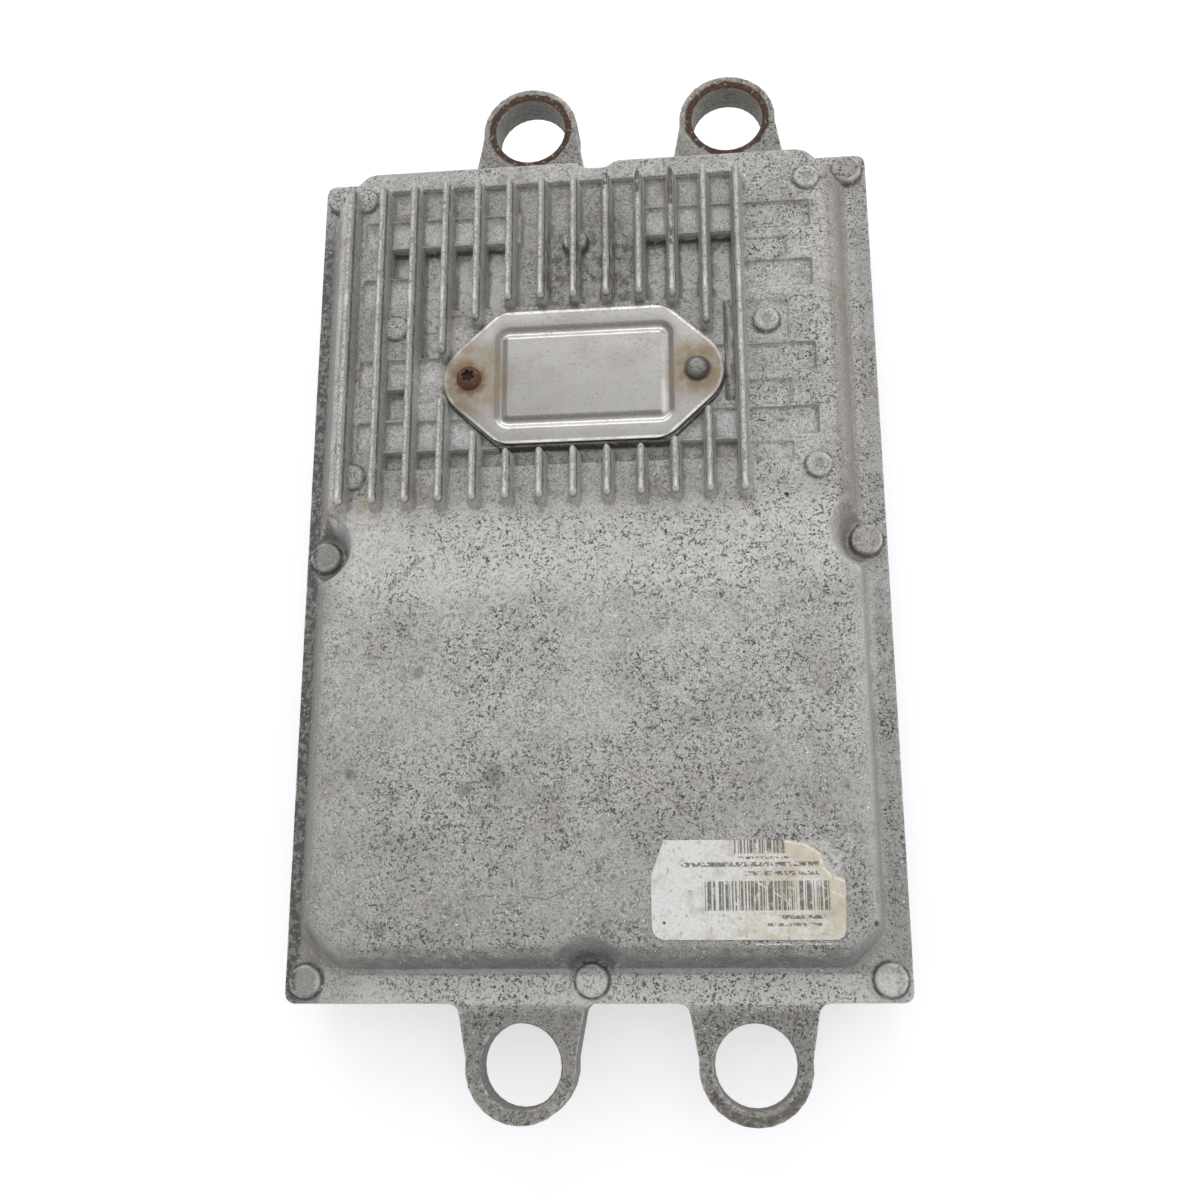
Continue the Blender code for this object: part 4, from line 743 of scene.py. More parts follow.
@dataclass(frozen=True)
class PlainFinish:
    """A plain surface with a little mottling, for pieces that hide inside or below."""

    name: str
    colour: str
    mottle: str
    roughness: float
    metallic: float = 0.0
    grain: float = 1.2
    height: float = 0.00002

    def build(self) -> bpy.types.Material:
        """Builds the material.

        Returns:
            The material.
        """
        r = Recipe(self.name)
        patches = r.patches(self.grain * 6, 0.32, 0.78)
        fine = r.patches(self.grain, 0.35, 0.70, 0.4)
        colour = r.paint(self.colour, (self.mottle, patches, 0.6), (self.mottle, fine, 0.25))
        r.dress(Base_Color=colour, Metallic=self.metallic,
                Roughness=r.levels(self.roughness, [(patches, min(1.0, self.roughness + 0.12))]))
        r.relief([(fine, self.height)])
        return r.material


@dataclass(frozen=True)
class PressedSheet:
    """Pressed aluminium sheet: silvery and smooth, with light stains from the screws, painted
    highlights and painted shade on the moat's slopes and a painted highlight along the rolled edge.
    """

    name: str = "pressed_aluminium_sheet"
    sheet: str = "#989694"
    dull: str = "#8a8785"
    stain: str = "#84775f"
    left_screw: Pair = (-0.0341, 0.0496)
    right_screw: Pair = (0.0324, 0.0496)

    def build(self) -> bpy.types.Material:
        """Builds the material.

        Returns:
            The material.
        """
        r = Recipe(self.name)
        soft = r.patches(14.0, 0.42, 0.64, 0.2)
        specks = r.patches(0.9, 0.61, 0.67, 0.5)
        fine = r.patches(0.6, 0.40, 0.70, 0.9, 2.0)
        halo = r.levels(0.0, [(r.patches(3.0, 0.30, 0.62, 0.6), 1.0)])
        near_left = r.distance(self.left_screw)
        near_right = r.distance(self.right_screw)
        left = r.both(r.within(near_left, 0.0068, 0.0044), halo)
        right = r.both(r.within(near_right, 0.0088, 0.0048), halo)
        collar = r.within(near_right, 0.0043, 0.0037)
        ends = r.both(r.either(r.within(near_left, 0.0150, 0.0080),
                               r.within(near_right, 0.0120, 0.0060)),
                      r.levels(0.45, [(r.patches(4.0, 0.35, 0.58, 0.8), 1.0)]))
        frame = r.hexagon(COVER_CENTRE, COVER_OUTLINE, COVER_TIP)
        arm = r.add("ShaderNodeVectorMath", {0: r.place, 1: (*COVER_CENTRE, 0.0461)},
                    operation="SUBTRACT").outputs[0]
        outward = r.add("ShaderNodeVectorMath", {0: arm, 1: r.normal},
                        operation="DOT_PRODUCT").outputs["Value"]
        pressed = r.within(frame, -0.0015, -0.0022)
        outer = r.both(pressed, r.within(outward, -0.0006, -0.0030))
        inner = r.both(pressed, r.within(outward, 0.0006, 0.0030))
        # Painted highlight on the moat's slopes that face the rear and its inner slopes that face
        # right.
        painted_highlight_slopes = r.either(r.both(r.either(outer, inner), r.within(r.lean, 0.08, 0.26)),
                            r.both(inner, r.within(r.sway, 0.10, 0.28), 0.6))
        # Painted shade on the moat's slopes that face the front.
        painted_shade_slopes = r.either(r.both(outer, r.within(r.lean, 0.12, 0.0)),
                         r.both(inner, r.within(r.lean, -0.08, -0.24)))
        # Painted highlight along the rolled edge.
        rim = r.both(r.band(frame, -0.0010, -0.0007, -0.0003, -0.0001),
                     r.levels(0.55, [(r.patches(3.0, 0.40, 0.56, 0.33), 1.0)]))
        cut_edge = r.both(r.within(frame, -0.0006, -0.0004), r.within(r.tilt, 0.55, 0.25))
        colour = r.paint(
            self.sheet,
            (self.dull, soft, 0.45),
            ("#6a6764", painted_shade_slopes, 0.55),
            ("#e9e7e3", painted_highlight_slopes, 0.80),
            ("#eceae6", rim, 0.70),
            ("#a8a5a0", fine, 0.30),
            (self.stain, ends, 0.88),
            ("#74716d", specks, 0.25),
            ("#8d7b62", right, 0.75),
            ("#866649", left, 0.85),
            ("#54443a", collar, 0.8),
            ("#2b2826", cut_edge, 0.80),
        )
        r.dress(Base_Color=colour,
                Metallic=r.levels(0.80, [(ends, 0.40), (left, 0.05), (right, 0.1)]),
                Roughness=r.levels(0.31, [(soft, 0.37), (left, 0.85), (right, 0.75)]))
        r.relief([(r.patches(12.0, 0.2, 0.8, 0.1, 1.0), 0.00008), (fine, 0.00001),
                  (specks, -0.00003)])
        return r.material


@dataclass(frozen=True)
class ScrewMetal:
    """Zinc-plated steel screw, from dull grey plating to full brown rust."""

    name: str
    metal: str
    rust: str
    glow: str
    rusted: float
    recess: Four | None = None

    def build(self) -> bpy.types.Material:
        """Builds the material.

        Returns:
            The material.
        """
        r = Recipe(self.name)
        low = 0.68 - 0.45 * self.rusted
        rust = r.patches(2.2, low, low + 0.12, 0.3)
        bright = r.both(rust, r.patches(1.1, 0.52, 0.68, 0.6))
        fine = r.patches(0.7, 0.54, 0.62, 0.8)
        layers = [("#565452", fine, 0.75), (self.rust, rust), (self.glow, bright, 0.8)]
        if self.recess:
            x, y, radius, height = self.recess
            # Painted shade at the bottom of the six-lobe recess.
            sunk = r.both(r.within(r.distance((x, y)), radius, radius * 0.9),
                          r.within(r.z, height, height - 0.0004))
            layers.append(("#20140f", sunk, 0.85))
        colour = r.paint(self.metal, *layers)
        r.dress(Base_Color=colour, Metallic=r.levels(0.8, [(rust, 0.05)]),
                Roughness=r.levels(0.42, [(rust, 0.85)]))
        r.relief([(rust, 0.00003), (fine, -0.00004)])
        return r.material


@dataclass(frozen=True)
class WornPaper:
    """Coated paper label, yellowed and scuffed, with faded bars of no meaning.

    Bars and dashes are given by their left, right, low and high ends from the label's corner.
    """

    name: str = "worn_label_paper"
    paper: str = "#d9dad8"
    aged: str = "#c2b79f"
    ink: str = "#4e4b49"
    columns_per_metre: float = 4700.0
    origin: Pair = (0.0170, -0.1096)
    bars: tuple[Four, ...] = ((0.0134, 0.0463, 0.0074, 0.0149), (0.0215, 0.0354, 0.0220, 0.0256))
    dashes: tuple[Four, ...] = (
        (0.0080, 0.0440, 0.0186, 0.0198), (0.0240, 0.0440, 0.0163, 0.0174),
        (0.0330, 0.0450, 0.0052, 0.0062), (0.0300, 0.0440, 0.0034, 0.0042),
        (0.0230, 0.0360, 0.0205, 0.0212))
    tear: tuple[Pair, ...] = (
        (0.0350, 0.0251), (0.0405, 0.0240), (0.0438, 0.0218), (0.0449, 0.0182),
        (0.0470, 0.0158), (0.0502, 0.0146))
    creases: tuple[tuple[Pair, ...], ...] = (
        ((0.0300, 0.0225), (0.0390, 0.0190), (0.0440, 0.0136), (0.0500, 0.0105)),
        ((0.0270, 0.0150), (0.0350, 0.0100), (0.0410, 0.0030)))

    def areas(self, r: Recipe, boxes: Sequence[Four], soft: float) -> Socket:
        """Covers areas of the label.

        Args:
            r: the finish that is being built.
            boxes: left, right, low and high end of each, from the label's corner.
            soft: width of their edges.

        Returns:
            The mask.
        """
        x, y = self.origin
        return r.either(*[r.region((x + left, x + right), (y + low, y + high), soft)
                          for left, right, low, high in boxes])

    def line(self, r: Recipe, points: Sequence[Pair], width: float) -> Socket:
        """Draws a thin mark on the label.

        Args:
            r: the finish that is being built.
            points: its corners, from the label's corner.
            width: half its width.

        Returns:
            The mask.
        """
        x, y = self.origin
        return r.stroke([(x + across, y + along) for across, along in points], width)

    def build(self) -> bpy.types.Material:
        """Builds the material.

        Returns:
            The material.
        """
        r = Recipe(self.name)
        x0, y0 = self.origin
        aged = r.both(r.within(r.x, x0 + 0.012, x0 + 0.042), r.patches(9.0, 0.30, 0.62, 0.3))
        scuffs = r.patches(1.4, 0.60, 0.68, 0.7)
        dirt = r.patches(5.0, 0.50, 0.70, 0.9)
        rubbed = r.both(r.within(r.x, x0 + 0.006, x0 + 0.020), r.patches(1.0, 0.50, 0.62, 0.25))
        columns = r.add("ShaderNodeMath", {0: r.x, 1: self.columns_per_metre},
                        operation="MULTIPLY")
        count = r.add("ShaderNodeMath", {0: columns.outputs[0]}, operation="FLOOR")
        stripe = r.add("ShaderNodeTexWhiteNoise", {"W": count.outputs[0]},
                       noise_dimensions="1D").outputs["Value"]
        bars = r.both(r.within(stripe, 0.40, 0.44), self.areas(r, self.bars, 0.0002))
        dashes = r.both(r.patches(0.75, 0.44, 0.50, 0.13, 1.0),
                        self.areas(r, self.dashes, 0.00012))
        print_left = r.both(r.either(bars, dashes), r.patches(2.0, 0.26, 0.46, 0.5), 0.88)
        torn = r.both(self.line(r, self.tear, 0.0006), r.patches(1.2, 0.40, 0.52, 0.35))
        creased = r.both(r.either(self.line(r, self.creases[0], 0.00030),
                                  self.line(r, self.creases[1], 0.00025)),
                         r.patches(1.4, 0.40, 0.54, 0.45))
        colour = r.paint(
            self.paper,
            ("#b4b3b0", r.patches(0.5, 0.42, 0.66, 0.55, 1.0), 0.40),
            (self.aged, aged, 0.85),
            ("#a59b8a", dirt, 0.45),
            (self.ink, print_left),
            ("#b9ae9a", rubbed, 0.40),
            ("#a89c86", scuffs, 0.65),
            ("#e3e0da", r.either(torn, creased), 0.85),
            ("#22282a", r.dots(((x0 + 0.0033, y0 + 0.0044, 0.0006),))),
        )
        r.dress(Base_Color=colour, Roughness=r.levels(0.55, [(scuffs, 0.85)]))
        r.relief([(r.patches(7.0, 0.2, 0.8, 0.2, 2.0), 0.00010), (scuffs, -0.00004)])
        return r.material


class Facing(Enum):
    """Which way a turned piece faces."""

    UP = 1
    DOWN = -1


def new_object(name: str, mesh: bpy.types.Mesh) -> bpy.types.Object:
    """Links an object for a mesh.

    Args:
        name: the object's name.
        mesh: its mesh.

    Returns:
        The object.
    """
    made = bpy.data.objects.new(name, mesh)
    bpy.context.scene.collection.objects.link(made)
    return made


def new_piece(bm: bmesh.types.BMesh, name: str) -> bpy.types.Object:
    """Turns a finished bmesh into a linked object.

    Args:
        bm: the shape, which is freed.
        name: name of the object and its mesh.

    Returns:
        The object.
    """
    mesh = bpy.data.meshes.new(name)
    bm.to_mesh(mesh)
    bm.free()
    return new_object(name, mesh)


def apply_modifiers(piece: bpy.types.Object) -> None:
    """Puts a piece's modifiers into its mesh.

    Args:
        piece: the piece, which is left with no modifiers.
    """
    graph = bpy.context.evaluated_depsgraph_get()
    piece.data = bpy.data.meshes.new_from_object(piece.evaluated_get(graph))
    piece.modifiers.clear()


def triangle_count(mesh: bpy.types.Mesh) -> int:
    """Counts a mesh's triangles."""
    return sum(len(face.vertices) - 2 for face in mesh.polygons)


def shade_smooth(mesh: bpy.types.Mesh, degrees: float | None = None) -> None:
    """Shades a mesh smoothly, with sharp edges past an angle where one is given.

    Args:
        mesh: the mesh.
        degrees: the angle past which an edge stays sharp.
    """
    mesh.polygons.foreach_set("use_smooth", [True] * len(mesh.polygons))
    if degrees is not None:
        mesh.set_sharp_from_angle(angle=math.radians(degrees))


class Finish(Protocol):
    """What every finish has: a name, and a method that builds its material."""

    name: str

    def build(self) -> bpy.types.Material:
        """Builds the material and returns it."""


class Dresser:
    """Puts finished pieces on the part and gives nodes their materials."""

    def __init__(self, nodes: dict[str, bpy.types.Object]) -> None:
        """Keeps the nodes and starts the list of finishes.

        Args:
            nodes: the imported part's nodes by name.
        """
        self.nodes = nodes
        self.made: dict[str, bpy.types.Material] = {}

    def finish(self, recipe: Finish) -> bpy.types.Material:
        """Builds a finish once and hands the same material out again.

        Args:
            recipe: one of the finish classes.

        Returns:
            Its material.
        """
        if recipe.name not in self.made:
            self.made[recipe.name] = recipe.build()
        return self.made[recipe.name]

    def dress(self, piece: bpy.types.Object, recipe: Finish) -> None:
        """Gives a piece or node one material."""
        piece.data.materials.clear()
        piece.data.materials.append(self.finish(recipe))

    def place(self, piece: bpy.types.Object, recipe: Finish, slot: str | None,
              *nodes: str) -> None:
        """Dresses a new piece, seats it on the part and hides the nodes it stands for.

        Args:
            piece: the finished piece.
            recipe: its finish.
            slot: the record's material slot, where it has one for this finish; not used.
            nodes: CAD nodes that it replaces.
        """
        self.dress(piece, recipe)
        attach(piece, ROOT)
        if nodes:
            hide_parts(*nodes)
        logger.info("%s: %d triangles", piece.name, triangle_count(piece.data))

    def dress_nodes(self, recipe: Finish, prefix: str) -> None:
        """Dresses the CAD nodes whose names start alike.

        Args:
            recipe: their finish.
            prefix: the start of their names.
        """
        names = [name for name in self.nodes if name.startswith(prefix)]
        for name in names:
            self.dress(self.nodes[name], recipe)
        logger.info("%s: %d nodes dressed", prefix, len(names))


@dataclass
class SoftenedCasting:
    """A casting with the rounded edges and slightly uneven skin that the mould gives."""

    piece: str
    voxel: float = 0.36 * MM
    passes: int = 1
    waviness: float = 0.10 * MM
    triangles: int = 190000
    zones: bool = False
    finned: tuple[Pair, Pair] = ((-0.0745, 0.0685), (0.0060, 0.1180))
    shoulder: Pair = (0.0350, 0.0440)
    crest: float = 0.0500
    shoulder_rounds: int = 90
    knock_depth: float = 0.5 * MM
    knock_size: float = 2.2 * MM
    wave_size: float = 9 * MM
    sharp_bend: float = 500.0

    def roughen(self, piece: bpy.types.Object, name: str, size: float, depth: float,
                inward: float) -> bpy.types.DisplaceModifier:
        """Makes a piece's surface uneven.

        Args:
            piece: the casting.
            name: name of the modifier and its pattern.
            size: distance from one hump to the next.
            depth: how high a hump stands over a hollow.
            inward: share of the depth that lies below the even surface.

        Returns:
            The modifier, which may still be held to a group of vertices.
        """
        clouds = bpy.data.textures.new(name, "CLOUDS")
        clouds.noise_scale = size
        uneven = piece.modifiers.new(name, "DISPLACE")
        uneven.texture = clouds
        uneven.texture_coords = "LOCAL"
        uneven.strength = depth
        uneven.mid_level = inward
        return uneven

    def shape_zones(self, piece: bpy.types.Object) -> None:
        """Rounds the plateau's shoulders more and makes the fins' crests uneven.

        Args:
            piece: the casting's even skin.
        """
        places = np.empty(len(piece.data.vertices) * 3)
        piece.data.vertices.foreach_get("co", places)
        x, y, z = places.reshape(-1, 3).T
        flange, plateau = 0.0310, 0.0435
        height = np.clip((z - flange) / (plateau - flange), 0, 1)
        # Each shoulder: the way out, where its rounding starts and ends, its drop and its reach.
        for value, start, end, drop, chosen in (
            (-y, 0.1098, 0.1130, 1.3 * MM, height),
            (-x, 0.0712, 0.0752, 0.9 * MM, height),
            (x, 0.0706, 0.0758, 1.0 * MM, height * (y < -0.003)),
            (x, 0.0692, 0.0728, 0.9 * MM, height * (y > 0.003)),
        ):
            reach = np.clip((value - start) / (end - start), 0, 1)
            z -= drop * reach ** 2 * chosen
        piece.data.vertices.foreach_set("co", places)
        (left, right), (front, rear) = self.finned
        among_fins = (x > left) & (x < right) & (y > front) & (y < rear)
        on_shoulder = ~among_fins & (z > self.shoulder[0]) & (z < self.shoulder[1])
        for name, chosen in (("shoulder", on_shoulder), ("crest", z > self.crest)):
            group = piece.vertex_groups.new(name=name)
            group.add(np.nonzero(chosen)[0].tolist(), 1.0, "REPLACE")
        round_off = piece.modifiers.new("soft_shoulder", "SMOOTH")
        round_off.iterations = self.shoulder_rounds
        round_off.factor = 0.5
        round_off.vertex_group = "shoulder"
        knocks = self.roughen(piece, "knocks", self.knock_size, self.knock_depth, 0.9)
        knocks.vertex_group = "crest"
        apply_modifiers(piece)
        piece.vertex_groups.clear()

    def solid(self, node: bpy.types.Object) -> bpy.types.Object:
        """Copies a node's mesh and joins its loose triangles.

        Args:
            node: the CAD node.

        Returns:
            A closed copy.
        """
        bm = bmesh.new()
        bm.from_mesh(node.data)
        bmesh.ops.remove_doubles(bm, verts=bm.verts, dist=1e-6)
        return new_piece(bm, self.piece)

    def mark_edges(self, mesh: bpy.types.Mesh) -> None:
        """Writes how far each vertex stands out or lies in a corner, for wear, grime and painted
        shade.

        Args:
            mesh: the finished mesh.
        """
        count = len(mesh.vertices)
        places = np.empty(count * 3)
        mesh.vertices.foreach_get("co", places)
        places = places.reshape(-1, 3)
        normals = np.empty(count * 3, dtype=np.float32)
        mesh.vertex_normals.foreach_get("vector", normals)
        normals = normals.reshape(-1, 3).astype(float)
        ends = np.empty(len(mesh.edges) * 2, dtype=np.int32)
        mesh.edges.foreach_get("vertices", ends)
        first, second = ends.reshape(-1, 2).T
        along = places[second] - places[first]
        length = np.maximum((along ** 2).sum(1), 1e-12)
        bend = ((normals[second] - normals[first]) * along).sum(1) / length
        total = np.bincount(first, bend, count) + np.bincount(second, bend, count)
        shares = np.bincount(first, minlength=count) + np.bincount(second, minlength=count)
        curve = total / np.maximum(shares, 1)
        for name, bends in (("edge", curve), ("hollow", -curve)):
            layer = mesh.attributes.new(name, "FLOAT", "POINT")
            values = np.clip(bends / self.sharp_bend, 0, 1)
            layer.data.foreach_set("value", values.astype(np.float32))

    def build(self, node: bpy.types.Object) -> bpy.types.Object:
        """Builds the softened piece.

        Args:
            node: the CAD node.

        Returns:
            The piece, with no modifiers left.
        """
        piece = self.solid(node)
        remesh = piece.modifiers.new("even_skin", "REMESH")
        remesh.mode = "VOXEL"
        remesh.voxel_size = self.voxel
        smooth = piece.modifiers.new("rounding", "SMOOTH")
        smooth.iterations = self.passes
        smooth.factor = 0.5
        self.roughen(piece, "uneven_skin", self.wave_size, self.waviness, 1.0)
        apply_modifiers(piece)
        if self.zones:
            self.shape_zones(piece)
        faces = triangle_count(piece.data)
        if faces > self.triangles:
            thin = piece.modifiers.new("thin", "DECIMATE")
            thin.ratio = self.triangles / faces
            apply_modifiers(piece)
        piece.data.name = self.piece
        self.mark_edges(piece.data)
        shade_smooth(piece.data)
        return piece


@dataclass
class AccessCover:
    """The pressed plate between the fins: a moat around a level panel."""

    centre: Pair = COVER_CENTRE
    half_length: float = 0.04075
    half_width: float = COVER_OUTLINE[1]
    tip_radius: float = COVER_TIP[1]
    side_trim: float = 0.0038
    slope: float = COVER_SLOPE
    moat: Pair = (0.0527, 0.0322)
    moat_shift: float = 0.0004
    moat_radius: float = 0.0045
    moat_steps: tuple[Pair, ...] = (
        (0.0002, -0.00003), (0.0003, -0.00012), (0.0004, -0.00022), (0.0004, -0.00022),
        (0.0003, -0.00014), (0.0003, -0.00005), (0.0003, 0.00001), (0.0003, 0.00006),
        (0.0004, 0.00019), (0.0004, 0.00022), (0.0004, 0.00020), (0.0003, 0.00010),
        (0.0002, 0.00002))
    sheet: float = 0.0012
    bottom: float = 0.0449
    rolled_edge: float = 0.00032

    def hexagon(self) -> list[Pair]:
        """Corners of the plate before they are rounded.

        Returns:
            Six corners around its middle.
        """
        run = self.half_width / math.tan(self.slope)
        tip = self.half_length + self.tip_radius * (1 / math.sin(self.slope) - 1)
        long, wide = tip - run, self.half_width
        return [(tip, 0), (long, wide), (-long, wide), (-tip, 0), (-long, -wide), (long, -wide)]

    def build(self) -> bpy.types.Object:
        """Builds the plate.

        Returns:
            The piece.
        """
        top = self.bottom + self.sheet
        bm = bmesh.new()
        corners = [bm.verts.new((x + self.centre[0], y + self.centre[1], top))
                   for x, y in self.hexagon()]
        bm.faces.new(corners)
        tips = [corners[0], corners[3]]
        sides = [corner for corner in corners if corner not in tips]
        trim = self.tip_radius * math.tan(math.pi / 2 - self.slope)
        for chosen, offset, segments in ((tips, trim, 14), (sides, self.side_trim, 8)):
            bmesh.ops.bevel(bm, geom=chosen, offset=offset, offset_type="OFFSET",
                            segments=segments, profile=0.5, affect="VERTICES", material=-1)
        bmesh.ops.delete(bm, geom=list(bm.faces), context="FACES_ONLY")
        half_x, half_y = self.moat[0] / 2, self.moat[1] / 2
        middle = self.centre[0] + self.moat_shift
        moat = [bm.verts.new((x * half_x + middle, y * half_y + self.centre[1], top))
                for x, y in ((1, 1), (-1, 1), (-1, -1), (1, -1))]
        bm.faces.new(moat)
        bmesh.ops.bevel(bm, geom=moat, offset=self.moat_radius, offset_type="OFFSET", segments=8,
                        profile=0.5, affect="VERTICES", material=-1)
        panel = list(bm.faces)
        for inward, lift in self.moat_steps:
            bmesh.ops.inset_region(bm, faces=panel, thickness=inward, depth=0.0,
                                   use_boundary=True, use_even_offset=True)
            bmesh.ops.translate(bm, vec=(0, 0, lift), verts=panel[0].verts)
        rims = [edge for edge in bm.edges if len(edge.link_faces) < 2]
        bmesh.ops.triangle_fill(bm, edges=rims, use_beauty=True)
        bmesh.ops.recalc_face_normals(bm, faces=bm.faces)
        if panel[0].normal.z < 0:
            bmesh.ops.reverse_faces(bm, faces=bm.faces)
        piece = new_piece(bm, "cover_plate")
        wall = piece.modifiers.new("thickness", "SOLIDIFY")
        wall.thickness = self.sheet
        wall.offset = -1.0
        rim = piece.modifiers.new("rolled_edge", "BEVEL")
        rim.width = self.rolled_edge
        rim.segments = 3
        rim.angle_limit = math.radians(50)
        apply_modifiers(piece)
        shade_smooth(piece.data, SHARP_DEGREES)
        return piece


@dataclass
class ScrewHead:
    """A turned screw head with its washer face and, where it has one, a six-lobe recess."""

    centre: Pair
    seat: float
    diameter: float
    height: float
    shank: Pair
    side: Facing = Facing.UP
    lobes: bool = True
    turn: float = 0.2

    def ring(self, bm: bmesh.types.BMesh, radius: float, height: float,
             wave: float = 0.0) -> list[bmesh.types.BMEdge]:
        """Adds one ring of the head.

        Args:
            bm: the mesh being built.
            radius: its radius.
            height: how far it stands over the seat.
            wave: how deep the six lobes cut into it.

        Returns:
            Its edges.
        """
        made = bmesh.ops.create_circle(bm, segments=48, radius=radius)
        for vertex in made["verts"]:
            angle = math.atan2(vertex.co.y, vertex.co.x) + self.turn
            vertex.co *= 1 - wave * (0.5 - 0.5 * math.cos(6 * angle))
            vertex.co.z = height
        return list({edge for vertex in made["verts"] for edge in vertex.link_edges})

    def build(self, name: str) -> bpy.types.Object:
        """Builds the head.

        Args:
            name: the piece's name.

        Returns:
            The piece.
        """
        radius, tall = self.diameter / 2, self.height
        thin, reach = self.shank[0] / self.diameter, -self.shank[1] / tall
        rings = [(thin * 0.8, reach, 0.0), (thin, reach * 0.93, 0.0), (thin, 0.0, 0.0),
                 (1.0, 0.0, 0.0), (1.0, 0.22, 0.0), (0.97, 0.38, 0.0), (0.90, 0.58, 0.0),
                 (0.78, 0.80, 0.0), (0.62, 0.93, 0.0)]
        if self.lobes:
            rings += [(0.60, 0.95, 0.02), (0.57, 0.95, 0.24), (0.55, 0.90, 0.28),
                      (0.52, 0.55, 0.30), (0.26, 0.48, 0.1)]
        else:
            rings += [(0.42, 0.985, 0.0), (0.20, 1.0, 0.0)]
        bm = bmesh.new()
        loops = [self.ring(bm, radius * wide, tall * high, wave) for wide, high, wave in rings]
        for below, above in zip(loops, loops[1:]):
            bmesh.ops.bridge_loops(bm, edges=below + above)
        bmesh.ops.holes_fill(bm, edges=loops[0] + loops[-1], sides=0)
        bmesh.ops.recalc_face_normals(bm, faces=bm.faces)
        if self.side is Facing.DOWN:
            bmesh.ops.rotate(bm, verts=bm.verts, matrix=Matrix.Rotation(math.pi, 3, "X"))
        bmesh.ops.translate(bm, verts=bm.verts, vec=(*self.centre, self.seat))
        piece = new_piece(bm, name)
        shade_smooth(piece.data, SHARP_DEGREES)
        return piece


@dataclass
class ContactPins:
    """Metal skins over the moulded pins of one connector header."""

    header: bpy.types.Object
    half: float = 0.0006
    skin: float = 0.00003
    length: float = 0.0064
    corner: float = 0.0002

    def places(self) -> set[Triple]:
        """Finds the pins by their square ends.

        Returns:
            Middle of each pin's end.
        """
        mesh = self.header.data
        ends = set()
        for face in mesh.polygons:
            corners = [mesh.vertices[index].co for index in face.vertices]
            spans = [max(c[i] for c in corners) - min(c[i] for c in corners) for i in range(3)]
            if spans[2] < 1e-5 and face.normal.z < -0.9 and max(spans[:2]) < 2 * self.half:
                middle = [(max(c[i] for c in corners) + min(c[i] for c in corners)) / 2
                          for i in range(3)]
                ends.add(tuple(round(value, 4) for value in middle))
        return ends

    def build(self, name: str) -> bpy.types.Object:
        """Builds the skins.

        Args:
            name: the piece's name.

        Returns:
            The piece.
        """
        wide = self.half + self.skin
        bm = bmesh.new()
        for x, y, z in self.places():
            size = Matrix.Diagonal((2 * wide, 2 * wide, self.length, 1.0))
            middle = Matrix.Translation((x, y, z - self.skin + self.length / 2))
            bmesh.ops.create_cube(bm, size=1.0, matrix=middle @ size)
        rim = [edge for edge in bm.edges if edge.calc_length() < 3 * wide]
        bmesh.ops.bevel(bm, geom=rim, offset=self.corner, offset_type="OFFSET", segments=2,
                        profile=0.5, affect="EDGES", material=-1)
        return new_piece(bm, name)


@dataclass
class PaperLabel:
    """A label stuck on the plateau, one corner cut and another torn off."""

    plateau: float = 0.0435
    thickness: float = 0.00016
    glue: float = 0.00004
    corners: tuple[Pair, ...] = (
        (0.0170, -0.0930), (0.0170, -0.0993), (0.0171, -0.1066), (0.0176, -0.1080),
        (0.0186, -0.1090), (0.0202, -0.1095), (0.0400, -0.1096), (0.0630, -0.1097),
        (0.0652, -0.1096), (0.0664, -0.1089), (0.0670, -0.1076), (0.0673, -0.1030),
        (0.0676, -0.0957), (0.0672, -0.0940), (0.0660, -0.0939), (0.0649, -0.0935),
        (0.0639, -0.0928), (0.0626, -0.0913), (0.0620, -0.0895), (0.0615, -0.0877),
        (0.0600, -0.0864), (0.0578, -0.0852), (0.0547, -0.0845), (0.0526, -0.0842),
        (0.0380, -0.0840), (0.0204, -0.0839),
    )

    def build(self) -> bpy.types.Object:
        """Builds the label.

        Returns:
            The piece.
        """
        bm = bmesh.new()
        rim = [bm.verts.new((x, y, self.plateau + self.glue)) for x, y in self.corners]
        face = bm.faces.new(rim)
        if face.normal.z < 0:
            face.normal_flip()
        raised = bmesh.ops.extrude_face_region(bm, geom=[face])
        top = [item for item in raised["geom"] if isinstance(item, bmesh.types.BMVert)]
        bmesh.ops.translate(bm, verts=top, vec=(0, 0, self.thickness))
        bmesh.ops.recalc_face_normals(bm, faces=bm.faces)
        return new_piece(bm, "worn_label")


